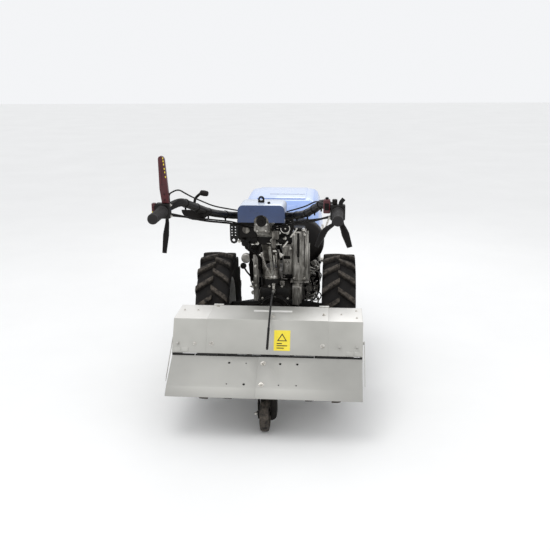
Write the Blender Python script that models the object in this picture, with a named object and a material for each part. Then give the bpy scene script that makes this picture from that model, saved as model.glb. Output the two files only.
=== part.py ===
"""Two-wheel walking tractor with a rear rotary tiller, built from its driving dimensions.

Metres, +Z up, +Y the way it drives. While it is built, y = 0 is the wheel axle and z = 0 the ground;
the last step moves the whole machine so that the middle of its footprint is the origin.
"""

import math

import bmesh
import bpy
from mathutils import Matrix, Vector

# ---- driving dimensions, in metres ----
SEAT_GAP = 0.0003  # left between two pieces that touch
SHEET = 0.003  # pressed steel sheet

# drive wheels, 6.5-12 agricultural tyres
TYRE_RADIUS = 0.288
TYRE_WIDTH = 0.162
TYRE_SEGMENTS = 36
TRACK_HALF = 0.300
RIM_SEAT_RADIUS = 0.150
RIM_FLANGE_RADIUS = 0.163
RIM_SEAT_HALF = 0.054
RIM_FLANGE = 0.0057
RIM_WALL = 0.005
RIM_WELL_DEPTH = 0.015
DISC_OFFSET = 0.006
HUB_FLANGE_RADIUS = 0.060
HUB_FLANGE_THICK = 0.012
AXLE_RADIUS = 0.028
AXLE_STUB = 0.068  # from the wheel disc in to the axle housing

# transmission
GEARBOX_HALF_WIDTH = 0.075
GEARBOX_REAR = -0.190
GEARBOX_FRONT = 0.110
GEARBOX_BOTTOM = 0.190
GEARBOX_TOP = 0.460
GEARBOX_EDGE = 0.022
SHAFT_HEIGHT = 0.360  # crankshaft and power take-off
CLUTCH_LENGTH = 0.080
CLUTCH_REAR_RADIUS = 0.085
CLUTCH_FRONT_RADIUS = 0.135

# engine
CRANKCASE_LEFT = -0.115
CRANKCASE_RIGHT = 0.060
CRANKCASE_LENGTH = 0.270
CRANKCASE_BOTTOM = 0.200
CRANKCASE_TOP = 0.450
CYLINDER_REACH = 0.142  # sideways from the crankcase
CYLINDER_LENGTH = 0.200
CYLINDER_BOTTOM = 0.300
CYLINDER_TOP = 0.580
FIN_COUNT = 7
FIN_DEPTH = 0.016
TANK_HALF_WIDTH = 0.100
TANK_LENGTH = 0.170
COWL_RADIUS = 0.160
COWL_LENGTH = 0.105
COWL_TOP = 0.590
STARTER_RADIUS = 0.112
STARTER_LENGTH = 0.045
BUMPER_TUBE = 0.014
BUMPER_HEIGHT = 0.290
BUMPER_REACH = 0.055  # in front of the starter
BUMPER_HALF_WIDTH = 0.190

# engine hood
HOOD_REAR = 0.118
HOOD_FRONT = 0.640
HOOD_REAR_BOTTOM = 0.680
HOOD_FRONT_BOTTOM = 0.600
HOOD_TOP = 0.835
HOOD_HALF_WIDTH = 0.210
HOOD_TAPER = 0.024
HOOD_RISE = 0.022
HOOD_BACK = 0.050
HOOD_NOSE = 0.150
HOOD_ROUNDING = 0.052
HOOD_WALL = 0.004

# handlebar column
COLUMN_X = -0.025  # the whole handlebar column stands left of the middle
PIVOT_Y = -0.100
TURRET_RADIUS = 0.048
TURRET_HEIGHT = 0.030
SWIVEL_RADIUS = 0.044
SWIVEL_HEIGHT = 0.055
TILT_HEIGHT = 0.597
EAR_THICK = 0.012
EAR_RADIUS = 0.028
MAST_HALF_WIDTH = 0.027
MAST_DEPTH = 0.050
MAST_TOP_Y = -0.490
MAST_TOP_Z = 0.868
HEAD_HALF_WIDTH = 0.062
HEAD_LENGTH = 0.060
HEAD_HEIGHT = 0.038
TILT_CLEARANCE = 0.001

# handlebars
BAR_RADIUS = 0.015
BAR_BEND = 0.060
GRIP_HALF_SPACING = 0.308
GRIP_HEIGHT = 0.971
GRIP_RADIUS = 0.0185
GRIP_LENGTH = 0.140
GRIP_START = -0.945
CLAMP_LENGTH = 0.036
CLAMP_HALF = 0.026

# cover over the column's head
COVER_HALF_WIDTH = 0.096
COVER_REAR = -0.545
COVER_FRONT = -0.405
COVER_BOTTOM = 0.850
COVER_TOP = 0.921
COVER_WALL = 0.003
COVER_ROUNDING = 0.022
NOTCH_CLEARANCE = 0.0015

# tiller
TILLER_HALF_WIDTH = 0.400
TILLER_CENTRE_HALF = 0.250
TILLER_TOP = 0.440
HOOD_LINE = ((-0.345, 0.315), (-0.397, TILLER_TOP), (-0.577, TILLER_TOP), (-0.647, 0.312))
ROTOR_Y = -0.495
ROTOR_Z = 0.188
ROTOR_RADIUS = 0.150
ROTOR_REACH = 0.362
ROTOR_CLEARANCE = 0.0008  # between a tine hub and the gear case
FLANGES = (0.095, 0.205, 0.320)
TINE_FOOT = 0.045
CASE_HALF_WIDTH = 0.034
CASE_TOP_RADIUS = 0.064
CASE_BOTTOM_RADIUS = 0.092
CASE_TOP_Y = -0.440
CASE_BOSS_REAR = -0.635
NECK_RADIUS = 0.050
COUPLING_RADIUS = 0.072
COUPLING_LENGTH = 0.050
FLAP_BEAD = 0.006
FLAP_HINGE_GAP = 0.0007  # between the flap's bead and the hood's lower edge
FLAP_LENGTH = 0.205
FLAP_ANGLE = 31.0  # below the horizontal
FLAP_LIP = 0.045
FLAP_LIP_ANGLE = 10.0
FLAP_HALF_WIDTH = 0.397
STAY_GAP = 0.006

# controls
CLAMP_START = -0.908
CLAMP_BOTTOM = 0.943
CLAMP_TOP = 0.998
LEVER_TOP = 1.163
CABLE_RADIUS = 0.004

# depth wheel
DEPTH_WHEEL_Y = -0.715
DEPTH_WHEEL_RADIUS = 0.075
DEPTH_WHEEL_WIDTH = 0.038
DEPTH_WHEEL_SEGMENTS = 28
FORK_PLATE = 0.005
FORK_GAP = 0.005

PAINTS = {
    "tyre_rubber": ((0.020, 0.020, 0.021), 0.85, 0.0),
    "rim_grey": ((0.30, 0.30, 0.30), 0.45, 0.4),
    "cast_black": ((0.030, 0.029, 0.028), 0.55, 0.3),
    "cast_aluminium": ((0.36, 0.35, 0.33), 0.50, 0.8),
    "hood_blue": ((0.10, 0.24, 0.62), 0.25, 0.0),
    "cover_blue": ((0.05, 0.09, 0.22), 0.30, 0.0),
    "black_plastic": ((0.025, 0.024, 0.024), 0.50, 0.0),
    "black_paint": ((0.030, 0.028, 0.028), 0.35, 0.1),
    "zinc_steel": ((0.55, 0.54, 0.52), 0.35, 0.9),
    "sheet_grey": ((0.42, 0.42, 0.40), 0.40, 0.6),
    "lever_red": ((0.22, 0.030, 0.040), 0.40, 0.0),
    "tine_steel": ((0.10, 0.09, 0.08), 0.60, 0.7),
}


# ---- helpers ----
def clear_scene():
    for existing in list(bpy.data.objects):
        bpy.data.objects.remove(existing)


def paint(name):
    """The material of that name, made once."""
    found = bpy.data.materials.get(name)
    if found:
        return found
    colour, roughness, metallic = PAINTS[name]
    made = bpy.data.materials.new(name)
    made.use_nodes = True
    shader = made.node_tree.nodes["Principled BSDF"]
    shader.inputs["Base Color"].default_value = (*colour, 1.0)
    shader.inputs["Roughness"].default_value = roughness
    shader.inputs["Metallic"].default_value = metallic
    made.diffuse_color = (*colour, 1.0)
    return made


def add_axis(name, place, parent=None):
    """An empty on a joint's axis, or the machine's own origin."""
    empty = bpy.data.objects.new(name, None)
    bpy.context.scene.collection.objects.link(empty)
    empty.location = place
    bpy.context.view_layer.update()
    if parent:
        keep_place(empty, parent)
    return empty


def keep_place(child, parent):
    child.parent = parent
    child.matrix_parent_inverse = parent.matrix_world.inverted()
    bpy.context.view_layer.update()


def finish_mesh(name, shape, finish=None, parent=None, smooth=True):
    """Turns a bmesh into a linked object; with no finish it is only a cutter or a joined shape."""
    bmesh.ops.recalc_face_normals(shape, faces=shape.faces)
    mesh = bpy.data.meshes.new(name)
    shape.to_mesh(mesh)
    shape.free()
    made = bpy.data.objects.new(name, mesh)
    bpy.context.scene.collection.objects.link(made)
    if finish:
        mesh.materials.append(paint(finish))
    else:
        made.hide_render = True
        made.display_type = "WIRE"
    if smooth:
        mesh.shade_smooth()
        mesh.set_sharp_from_angle(angle=math.radians(35))
    if parent:
        keep_place(made, parent)
    return made


def boolean(target, tool, operation):
    modifier = target.modifiers.new(operation.lower() + "_" + tool.name, "BOOLEAN")
    modifier.operation = operation
    modifier.solver = "EXACT"
    modifier.object = tool
    return target


def cut(target, shape):
    """Takes a bmesh shape out of an object."""
    tool = finish_mesh(target.name + "_cut", shape, parent=target.parent, smooth=False)
    return boolean(target, tool, "DIFFERENCE")


def join(target, shape):
    """Welds a bmesh shape, which has to overlap it, to an object."""
    tool = finish_mesh(target.name + "_weld", shape, parent=target.parent, smooth=False)
    return boolean(target, tool, "UNION")


def slab(low, high, edge=0.0, segments=2):
    """A box from its low corner to its high corner, with its edges rounded by edge."""
    low, high = Vector(low), Vector(high)
    shape = bmesh.new()
    bmesh.ops.create_cube(shape, size=1.0)
    size = high - low
    bmesh.ops.scale(shape, vec=size, verts=shape.verts)
    bmesh.ops.translate(shape, vec=(low + high) / 2, verts=shape.verts)
    if edge:
        edges = shape.edges[:]
        bmesh.ops.bevel(shape, geom=edges, offset=edge, segments=segments, profile=0.5, affect="EDGES")
    return shape


AXIS_TURNS = {
    "X": Matrix.Rotation(math.radians(90), 4, "Y"),
    "Y": Matrix.Rotation(math.radians(-90), 4, "X"),
    "Z": Matrix.Identity(4),
}


def turned(profile, axis, centre, segments=32):
    """A solid turned about an axis through centre. The profile is (along, radius) pairs.

    A profile that starts and ends at radius 0 makes a plug; any other is closed into a ring.
    """
    shape = bmesh.new()
    rings = []
    for along, radius in profile:
        if radius < 1e-9:
            rings.append([shape.verts.new((0, 0, along))])
            continue
        steps = (2 * math.pi * (i + 0.5) / segments for i in range(segments))
        rings.append([shape.verts.new((radius * math.cos(a), radius * math.sin(a), along)) for a in steps])
    plug = len(rings[0]) == 1 and len(rings[-1]) == 1
    pairs = list(zip(rings, rings[1:])) + ([] if plug else [(rings[-1], rings[0])])
    for first, second in pairs:
        for i in range(segments):
            k = (i + 1) % segments
            if len(first) == 1:
                shape.faces.new((first[0], second[i], second[k]))
            elif len(second) == 1:
                shape.faces.new((first[i], first[k], second[0]))
            else:
                shape.faces.new((first[i], first[k], second[k], second[i]))
    turn = AXIS_TURNS[axis]
    bmesh.ops.transform(shape, matrix=Matrix.Translation(centre) @ turn, verts=shape.verts)
    return shape


def flat_radius(radius, segments):
    """The corner radius of a turned shape whose flats lie at radius."""
    return radius / math.cos(math.pi / segments)


def disc(axis, centre, radius, start, end, segments=20):
    """A plain cylinder along an axis, from start to end measured from centre."""
    return turned([(start, 0), (start, radius), (end, radius), (end, 0)], axis, centre, segments)


PLANE_AXES = {"X": (1, 2, 0), "Y": (0, 2, 1), "Z": (0, 1, 2)}


def prism(outline, axis, low, high):
    """An outline drawn in the plane across axis, extruded from low to high along it."""
    first, second, along = PLANE_AXES[axis]
    shape = bmesh.new()
    corners = []
    for a, b in outline:
        place = [0.0, 0.0, 0.0]
        place[first], place[second], place[along] = a, b, low
        corners.append(shape.verts.new(place))
    face = shape.faces.new(corners)
    grown = bmesh.ops.extrude_face_region(shape, geom=[face])
    step = [0.0, 0.0, 0.0]
    step[along] = high - low
    moved = [v for v in grown["geom"] if isinstance(v, bmesh.types.BMVert)]
    bmesh.ops.translate(shape, vec=step, verts=moved)
    return shape


def arc(centre, radius, start, end, steps):
    """Points on an arc, angles in degrees, both ends included."""
    turns = (math.radians(start + (end - start) * i / steps) for i in range(steps + 1))
    return [(centre[0] + radius * math.cos(t), centre[1] + radius * math.sin(t)) for t in turns]


def belt(first, first_radius, second, second_radius, steps=8):
    """The outline round two circles, like a belt over two pulleys."""
    dx, dy = second[0] - first[0], second[1] - first[1]
    length = math.hypot(dx, dy)
    line = math.degrees(math.atan2(dy, dx))
    lean = math.degrees(math.acos((first_radius - second_radius) / length))
    return arc(first, first_radius, line + lean, line + 360 - lean, steps) + arc(
        second, second_radius, line - lean, line + lean, steps
    )


def offset_line(line, distance):
    """An open line moved sideways by distance, to its left, with mitred corners."""
    moved = []
    for i, point in enumerate(line):
        here = Vector(point)
        before = (here - Vector(line[i - 1])).normalized() if i else None
        after = (Vector(line[i + 1]) - here).normalized() if i + 1 < len(line) else None
        before, after = before or after, after or before
        side = Vector((-before.y - after.y, before.x + after.x)).normalized()
        stretch = side.dot(Vector((-after.y, after.x)))
        moved.append(tuple(here + side * distance / stretch))
    return moved


def strip(line, thickness):
    """A sheet's cut edge: an open line and the same line moved by its thickness."""
    return list(line) + offset_line(line, thickness)[::-1]


def bent_path(corners, bend, steps=5):
    """A tube's centre line: straight runs between corners, with each corner rounded."""
    corners = [Vector(c) for c in corners]
    path = [corners[0]]
    for i in range(1, len(corners) - 1):
        before, here, after = corners[i - 1 : i + 2]
        reach = min(bend, (here - before).length * 0.45, (after - here).length * 0.45)
        start = here + (before - here).normalized() * reach
        end = here + (after - here).normalized() * reach
        for k in range(steps + 1):
            t = k / steps
            path.append(start.lerp(here, t).lerp(here.lerp(end, t), t))
    path.append(corners[-1])
    return path


def swept(path, radius, sides=12, flatten=1.0):
    """A round or oval bar along a path, with flat ends."""
    path = [Vector(p) for p in path]
    shape = bmesh.new()
    tangent = (path[1] - path[0]).normalized()
    side = tangent.cross(Vector((0, 0, 1)))
    if side.length < 0.1:
        side = tangent.cross(Vector((0, 1, 0)))
    side.normalize()
    rings = []
    for i, point in enumerate(path):
        ahead = (path[min(i + 1, len(path) - 1)] - point).normalized() if i + 1 < len(path) else None
        behind = (point - path[i - 1]).normalized() if i else None
        direction = ((ahead or behind) + (behind or ahead)).normalized()
        side = (side - direction * side.dot(direction)).normalized()
        up = side.cross(direction)
        turns = (2 * math.pi * (k + 0.5) / sides for k in range(sides))
        rings.append(
            [
                shape.verts.new(point + side * radius * math.cos(a) + up * radius * flatten * math.sin(a))
                for a in turns
            ]
        )
    for first, second in zip(rings, rings[1:]):
        for k in range(sides):
            n = (k + 1) % sides
            shape.faces.new((first[k], first[n], second[n], second[k]))
    shape.faces.new(rings[0][::-1])
    shape.faces.new(rings[-1])
    return shape


def mirrored(side, point):
    """A right-hand point (side +1) or its mirror image (side -1)."""
    return (side * point[0], point[1], point[2])


# ---- drive wheels ----
def build_tyre(name, side, axis):
    half = TYRE_WIDTH / 2
    tread = flat_radius(TYRE_RADIUS, TYRE_SEGMENTS)
    side_line = [
        (RIM_SEAT_HALF, RIM_SEAT_RADIUS),
        (RIM_SEAT_HALF, RIM_FLANGE_RADIUS),
        (half - 0.014, RIM_FLANGE_RADIUS + 0.014),
        (half - 0.001, tread - 0.080),
        (half, tread - 0.052),
        (half - 0.003, tread - 0.024),
        (half - 0.019, tread - 0.008),
        (half * 0.38, tread - 0.0015),
        (0.0, tread),
    ]
    profile = side_line + [(-w, r) for w, r in side_line[-2::-1]]
    shape = turned(profile, "X", (side * TRACK_HALF, 0, TYRE_RADIUS), TYRE_SEGMENTS)
    return finish_mesh(name, shape, "tyre_rubber", axis)


def build_rim(name, side, axis):
    seat = RIM_SEAT_RADIUS - SEAT_GAP
    flange_in = RIM_SEAT_HALF + SEAT_GAP
    flange_out = flange_in + RIM_FLANGE
    well = seat - RIM_WELL_DEPTH
    well_half = RIM_SEAT_HALF * 0.55
    barrel = [
        (flange_out, RIM_FLANGE_RADIUS),
        (flange_in, RIM_FLANGE_RADIUS),
        (flange_in, seat),
        (well_half + RIM_WALL, seat),
        (well_half, well),
    ]
    inside = [
        (flange_out, seat - RIM_WALL),
        (well_half, seat - RIM_WALL),
        (well_half - RIM_WALL, well - RIM_WALL),
    ]
    disc_in, disc_out = DISC_OFFSET, DISC_OFFSET + RIM_WALL
    inner_half = [(-w, r) for w, r in inside[::-1]]
    profile = (
        [(disc_in, 0), (disc_in, well - RIM_WALL)]
        + inner_half
        + [(-w, r) for w, r in barrel]
        + barrel[::-1]
        + inside
        + [(disc_out, well - RIM_WALL), (disc_out, 0)]
    )
    placed = [(side * w, r) for w, r in profile]
    shape = turned(placed, "X", (side * TRACK_HALF, 0, TYRE_RADIUS), segments=TYRE_SEGMENTS)
    return finish_mesh(name, shape, "rim_grey", axis)


def build_axle_shaft(name, side, axis):
    face = DISC_OFFSET - SEAT_GAP
    end = DISC_OFFSET - AXLE_STUB
    profile = [
        (end, 0),
        (end, AXLE_RADIUS),
        (face - HUB_FLANGE_THICK, AXLE_RADIUS),
        (face - HUB_FLANGE_THICK, HUB_FLANGE_RADIUS),
        (face, HUB_FLANGE_RADIUS),
        (face, 0),
    ]
    shape = turned([(side * w, r) for w, r in profile], "X", (side * TRACK_HALF, 0, TYRE_RADIUS), segments=20)
    return finish_mesh(name, shape, "cast_black", axis)


def build_axle_housing(name, side, machine):
    start = GEARBOX_HALF_WIDTH + SEAT_GAP
    end = TRACK_HALF + DISC_OFFSET - AXLE_STUB - SEAT_GAP
    profile = [
        (start, 0),
        (start, 0.066),
        (start + 0.014, 0.066),
        (start + 0.018, 0.052),
        (end - 0.030, 0.038),
        (end, 0.038),
        (end, 0),
    ]
    shape = turned([(side * w, r) for w, r in profile], "X", (0, 0, TYRE_RADIUS), segments=20)
    return finish_mesh(name, shape, "cast_black", machine)


def build_wheels(machine):
    for word, side in (("left", -1), ("right", 1)):
        axis = add_axis(f"wheel_{word}_axis", (side * TRACK_HALF, 0, TYRE_RADIUS), machine)
        build_tyre(f"tyre_{word}", side, axis)
        build_rim(f"rim_{word}", side, axis)
        build_axle_shaft(f"axle_shaft_{word}", side, axis)
        build_axle_housing(f"axle_housing_{word}", side, machine)


# ---- transmission and engine ----
def build_transmission(machine):
    width = GEARBOX_HALF_WIDTH
    body = slab(
        (-width, GEARBOX_REAR, GEARBOX_BOTTOM), (width, GEARBOX_FRONT, GEARBOX_TOP), GEARBOX_EDGE, segments=3
    )
    gearbox = finish_mesh("gearbox", body, "cast_black", machine)
    join(gearbox, disc("Z", (COLUMN_X, PIVOT_Y, 0), TURRET_RADIUS, GEARBOX_TOP - 0.030, turret_top(), 28))

    start = GEARBOX_FRONT + SEAT_GAP
    end = GEARBOX_FRONT + CLUTCH_LENGTH
    bell = [
        (start, 0),
        (start, CLUTCH_REAR_RADIUS),
        (start + 0.015, CLUTCH_REAR_RADIUS + 0.010),
        (end - 0.018, CLUTCH_FRONT_RADIUS - 0.010),
        (end - 0.018, CLUTCH_FRONT_RADIUS),
        (end, CLUTCH_FRONT_RADIUS),
        (end, 0),
    ]
    finish_mesh("clutch_housing", turned(bell, "Y", (0, 0, SHAFT_HEIGHT), 28), "cast_aluminium", machine)


def crankcase_rear():
    return GEARBOX_FRONT + CLUTCH_LENGTH + SEAT_GAP


def crankcase_front():
    return crankcase_rear() + CRANKCASE_LENGTH


def cylinder_span():
    rear = crankcase_rear() + 0.010
    return rear, rear + CYLINDER_LENGTH


def build_engine(machine):
    low = (CRANKCASE_LEFT, crankcase_rear(), CRANKCASE_BOTTOM)
    high = (CRANKCASE_RIGHT, crankcase_front(), CRANKCASE_TOP)
    finish_mesh("engine_crankcase", slab(low, high, 0.018, 2), "cast_aluminium", machine)

    # the cylinder lies to the right; its fins are a comb outline drawn across the engine
    start = CRANKCASE_RIGHT + SEAT_GAP
    pitch = CYLINDER_REACH / (2 * FIN_COUNT)
    core = CYLINDER_TOP - FIN_DEPTH
    comb = [(start, core)]
    for k in range(FIN_COUNT):
        near = start + (2 * k + 1) * pitch
        comb += [(near, core), (near, CYLINDER_TOP), (near + pitch, CYLINDER_TOP), (near + pitch, core)]
    comb = comb[:-1]
    middle = CYLINDER_TOP + CYLINDER_BOTTOM
    outline = comb + [(x, middle - z) for x, z in comb[::-1]]
    rear, front = cylinder_span()
    block = prism(outline, "Y", rear, front)
    finish_mesh("engine_cylinder", block, "cast_aluminium", machine, smooth=False)

    # fuel tank on the crankcase, which also carries the engine hood
    rear = crankcase_rear() + 0.060
    underside = hood_height(rear) - HOOD_WALL * 1.02 - SEAT_GAP
    low = (-TANK_HALF_WIDTH, rear, CRANKCASE_TOP + SEAT_GAP)
    high = (CRANKCASE_RIGHT, rear + TANK_LENGTH, underside)
    finish_mesh("fuel_tank", slab(low, high, 0.010, 2), "black_plastic", machine)

    # fan cowl: round below the crankshaft, straight up to the hood
    centre = (0.0, SHAFT_HEIGHT)
    start = crankcase_front() + SEAT_GAP
    end = start + COWL_LENGTH
    outline = arc(centre, COWL_RADIUS, 180, 360, 16) + [(COWL_RADIUS, COWL_TOP), (-COWL_RADIUS, COWL_TOP)]
    cowl = finish_mesh("flywheel_cowl", prism(outline, "Y", start, end), "black_plastic", machine)

    face = end - SHEET
    dish = [
        (face, 0),
        (face, STARTER_RADIUS),
        (end + STARTER_LENGTH * 0.6, STARTER_RADIUS),
        (end + STARTER_LENGTH, STARTER_RADIUS * 0.75),
        (end + STARTER_LENGTH, 0),
    ]
    join(cowl, turned(dish, "Y", (0, 0, SHAFT_HEIGHT), 28))


def starter_front():
    return crankcase_front() + SEAT_GAP + COWL_LENGTH + STARTER_LENGTH


def build_bumper(machine):
    """A bent tube from each side of the crankcase round the front of the engine."""
    front = starter_front() + BUMPER_REACH
    foot_y, foot_z = crankcase_rear() + 0.060, CRANKCASE_BOTTOM + 0.030

    def half_loop(side, foot_x):
        return [
            (foot_x, foot_y, foot_z),
            (foot_x, crankcase_front() - 0.120, foot_z),
            (side * BUMPER_HALF_WIDTH, crankcase_front() + 0.040, BUMPER_HEIGHT),
            (side * BUMPER_HALF_WIDTH, front, BUMPER_HEIGHT),
        ]

    beside = SEAT_GAP + BUMPER_TUBE
    left = half_loop(-1, CRANKCASE_LEFT - beside)
    right = half_loop(1, CRANKCASE_RIGHT + beside)
    tube = swept(bent_path(left + right[::-1], 0.055, 3), BUMPER_TUBE, 8)
    return finish_mesh("front_bumper", tube, "black_paint", machine)


def hood_height(y):
    """Height of the hood's top face, which rises towards the front."""
    rise = (y - HOOD_REAR - HOOD_BACK) / (HOOD_FRONT - HOOD_NOSE - HOOD_REAR - HOOD_BACK)
    return HOOD_TOP - HOOD_RISE * (1 - rise)


def build_engine_hood(machine):
    """A pressed hood over the engine: a rounded prism, open below, with walls of even thickness."""
    side_line = [
        (HOOD_REAR, HOOD_REAR_BOTTOM),
        (HOOD_REAR + HOOD_BACK, HOOD_TOP - HOOD_RISE),
        (HOOD_FRONT - HOOD_NOSE, HOOD_TOP),
        (HOOD_FRONT - 0.012, HOOD_TOP - 0.110),
        (HOOD_FRONT, HOOD_FRONT_BOTTOM),
    ]
    shape = prism(side_line, "X", -HOOD_HALF_WIDTH, HOOD_HALF_WIDTH)
    bmesh.ops.recalc_face_normals(shape, faces=shape.faces)
    mouth = min(shape.faces, key=lambda face: face.normal.z)
    rounded = [e for e in shape.edges if mouth not in e.link_faces]
    bmesh.ops.bevel(
        shape, geom=rounded, offset=HOOD_ROUNDING, segments=3, profile=0.5, affect="EDGES", clamp_overlap=True
    )
    for vert in shape.verts:
        rise = (vert.co.z - HOOD_FRONT_BOTTOM) / (HOOD_TOP - HOOD_FRONT_BOTTOM)
        vert.co.x *= 1 - HOOD_TAPER / HOOD_HALF_WIDTH * rise
    bmesh.ops.recalc_face_normals(shape, faces=shape.faces)
    mouth = min(shape.faces, key=lambda face: face.normal.z)
    bmesh.ops.delete(shape, geom=[mouth], context="FACES")
    hood = finish_mesh("engine_hood", shape, "hood_blue", machine)
    wall = hood.modifiers.new("wall", "SOLIDIFY")
    wall.thickness = HOOD_WALL
    wall.offset = -1
    wall.use_even_offset = True
    return hood


def build_engine_fittings(machine):
    rear, front = cylinder_span()
    # air filter canister with its intake duct to the cylinder
    radius, z, x = 0.110, 0.630, 0.115
    can = [
        (0.000, 0),
        (0.000, radius * 0.5),
        (0.014, radius * 0.83),
        (0.036, radius),
        (0.100, radius),
        (0.100, 0),
    ]
    canister = finish_mesh("air_filter", turned(can, "Y", (x, 0.004, z), 28), "black_plastic", machine)
    join(canister, disc("Y", (x, 0, z - radius + 0.027), 0.016, 0.09, rear - SEAT_GAP))

    # silencer in front of the cylinder, with its flange and its outlet pipe
    near = front + 0.012
    silencer = slab((0.085, near, 0.400), (0.200, crankcase_front() - 0.003, 0.570), 0.020, 2)
    silencer = finish_mesh("muffler", silencer, "zinc_steel", machine)
    join(silencer, disc("Y", (0.140, 0, 0.480), 0.024, front + SEAT_GAP, near + 0.010))
    join(silencer, disc("X", (0, (near + crankcase_front()) / 2, 0.435), 0.014, 0.180, 0.222))

    # ribbed cover on the gearbox's right flank
    side = GEARBOX_HALF_WIDTH + SEAT_GAP
    cover = slab((side, -0.150, 0.362), (side + 0.042, 0.060, GEARBOX_TOP - 0.001), 0.012, 2)
    finish_mesh("gearbox_side_cover", cover, "cast_aluminium", machine)

    # battery and fuse housings in sheet steel, on an angle bracket bolted to the gearbox
    seat = GEARBOX_TOP + SEAT_GAP
    battery = slab((0.074, -0.092, seat + 0.002), (0.152, -0.002, 0.712), 0.006, 1)
    battery = finish_mesh("battery_box", battery, "sheet_grey", machine)
    join(battery, slab((0.024, -0.046, seat + 0.002), (0.080, -0.0015, 0.632), 0.005, 1))
    angle = [(-0.096, seat), (0.0, seat), (0.0, seat + 0.176), (-0.006, seat + 0.176), (-0.006, seat + 0.006)]
    angle.append((-0.096, seat + 0.006))
    join(battery, prism(angle, "X", 0.066, 0.156))


# ---- column and handlebars ----
def turret_top():
    return GEARBOX_TOP + TURRET_HEIGHT


def build_column(machine):
    swivel_axis = add_axis("handlebar_swivel_axis", (0, PIVOT_Y, GEARBOX_TOP), machine)
    tilt_axis = add_axis("handlebar_tilt_axis", (0, PIVOT_Y, TILT_HEIGHT), swivel_axis)

    head_low = turret_top() + SEAT_GAP
    head_top = head_low + SWIVEL_HEIGHT
    ear_in = MAST_HALF_WIDTH + TILT_CLEARANCE
    head = finish_mesh(
        "swivel_head",
        disc("Z", (0, PIVOT_Y, 0), SWIVEL_RADIUS, head_low, head_top, 24),
        "cast_aluminium",
        swivel_axis,
    )
    for side in (-1, 1):
        outline = [(PIVOT_Y - EAR_RADIUS, head_top - 0.010), (PIVOT_Y + EAR_RADIUS, head_top - 0.010)]
        outline += arc((PIVOT_Y, TILT_HEIGHT), EAR_RADIUS, 0, 180, 10)
        near, far = side * ear_in, side * (ear_in + EAR_THICK)
        join(head, prism(outline, "X", min(near, far), max(near, far)))
    return swivel_axis, tilt_axis


def build_mast(tilt_axis):
    outline = belt((PIVOT_Y, TILT_HEIGHT), MAST_DEPTH / 2, (MAST_TOP_Y, MAST_TOP_Z), HEAD_HEIGHT / 2)
    beam = prism(outline, "X", -MAST_HALF_WIDTH, MAST_HALF_WIDTH)
    mast = finish_mesh("mast", beam, "black_paint", tilt_axis)
    head_low = (-HEAD_HALF_WIDTH, MAST_TOP_Y - HEAD_LENGTH / 2, MAST_TOP_Z - HEAD_HEIGHT / 2 - 0.001)
    head_high = (HEAD_HALF_WIDTH, MAST_TOP_Y + HEAD_LENGTH / 2, MAST_TOP_Z + HEAD_HEIGHT / 2 + 0.001)
    join(mast, slab(head_low, head_high, 0.004))
    post = HEAD_HALF_WIDTH / 3
    underside = COVER_TOP - COVER_WALL - SEAT_GAP
    join(mast, slab((-post, MAST_TOP_Y - post, MAST_TOP_Z), (post, MAST_TOP_Y + post, underside)))
    return mast


def bar_corners(side):
    points = [
        (HEAD_HALF_WIDTH + SEAT_GAP, MAST_TOP_Y, MAST_TOP_Z),
        (0.125, MAST_TOP_Y, MAST_TOP_Z),
        (0.186, -0.655, 0.910),
        (0.260, -0.860, 0.992),
        (GRIP_HALF_SPACING, -0.885, GRIP_HEIGHT),
        (GRIP_HALF_SPACING, GRIP_START + SEAT_GAP, GRIP_HEIGHT),
    ]
    return [mirrored(side, p) for p in points]


def build_bars(tilt_axis):
    for word, side in (("left", -1), ("right", 1)):
        bar = swept(bent_path(bar_corners(side), BAR_BEND, 4), BAR_RADIUS, 10)
        finish_mesh(f"handlebar_{word}", bar, "black_paint", tilt_axis)
        grip = [
            (0.000, 0),
            (0.000, GRIP_RADIUS + 0.003),
            (-0.008, GRIP_RADIUS + 0.003),
            (-0.012, GRIP_RADIUS),
            (-GRIP_LENGTH + 0.006, GRIP_RADIUS),
            (-GRIP_LENGTH, GRIP_RADIUS - 0.006),
            (-GRIP_LENGTH, 0),
        ]
        place = (side * GRIP_HALF_SPACING, GRIP_START, GRIP_HEIGHT)
        finish_mesh(f"grip_{word}", turned(grip, "Y", place, 16), "black_plastic", tilt_axis)


def cover_outline(inset):
    """The cover seen from behind: square below, rounded above."""
    half, radius = COVER_HALF_WIDTH - inset, COVER_ROUNDING - inset
    top, bottom = COVER_TOP - inset, COVER_BOTTOM - inset * 5
    left = arc((radius - half, top - radius), radius, 90, 180, 5)
    right = arc((half - radius, top - radius), radius, 0, 90, 5)
    return [(-half, bottom), (half, bottom)] + right + left


def build_cover(tilt_axis):
    """The blue cover over the column's head, open below, with notches for the two bars."""
    shape = prism(cover_outline(0.0), "Y", COVER_REAR, COVER_FRONT)
    cover = finish_mesh("column_cover", shape, "cover_blue", tilt_axis)
    cut(cover, prism(cover_outline(COVER_WALL), "Y", COVER_REAR + COVER_WALL, COVER_FRONT - COVER_WALL))
    notch = BAR_RADIUS + NOTCH_CLEARANCE
    reach = COVER_HALF_WIDTH + 0.010
    cut(cover, disc("X", (0, MAST_TOP_Y, MAST_TOP_Z), notch, -reach, reach, 24))
    low = (-reach, MAST_TOP_Y - notch, COVER_BOTTOM - 0.010)
    high = (reach, MAST_TOP_Y + notch, MAST_TOP_Z)
    cut(cover, slab(low, high))
    cut(cover, disc("Y", (0, 0, COVER_BOTTOM), 0.031, COVER_REAR - 0.010, COVER_REAR + 0.010, 24))
    return cover


# ---- controls on the handlebars ----
def lever_path(foot, rise, *corners):
    """A lever's centre line, square to the clamp face where it starts."""
    return bent_path([foot, (foot[0], foot[1], foot[2] + rise), *corners], 0.030, 3)


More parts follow.
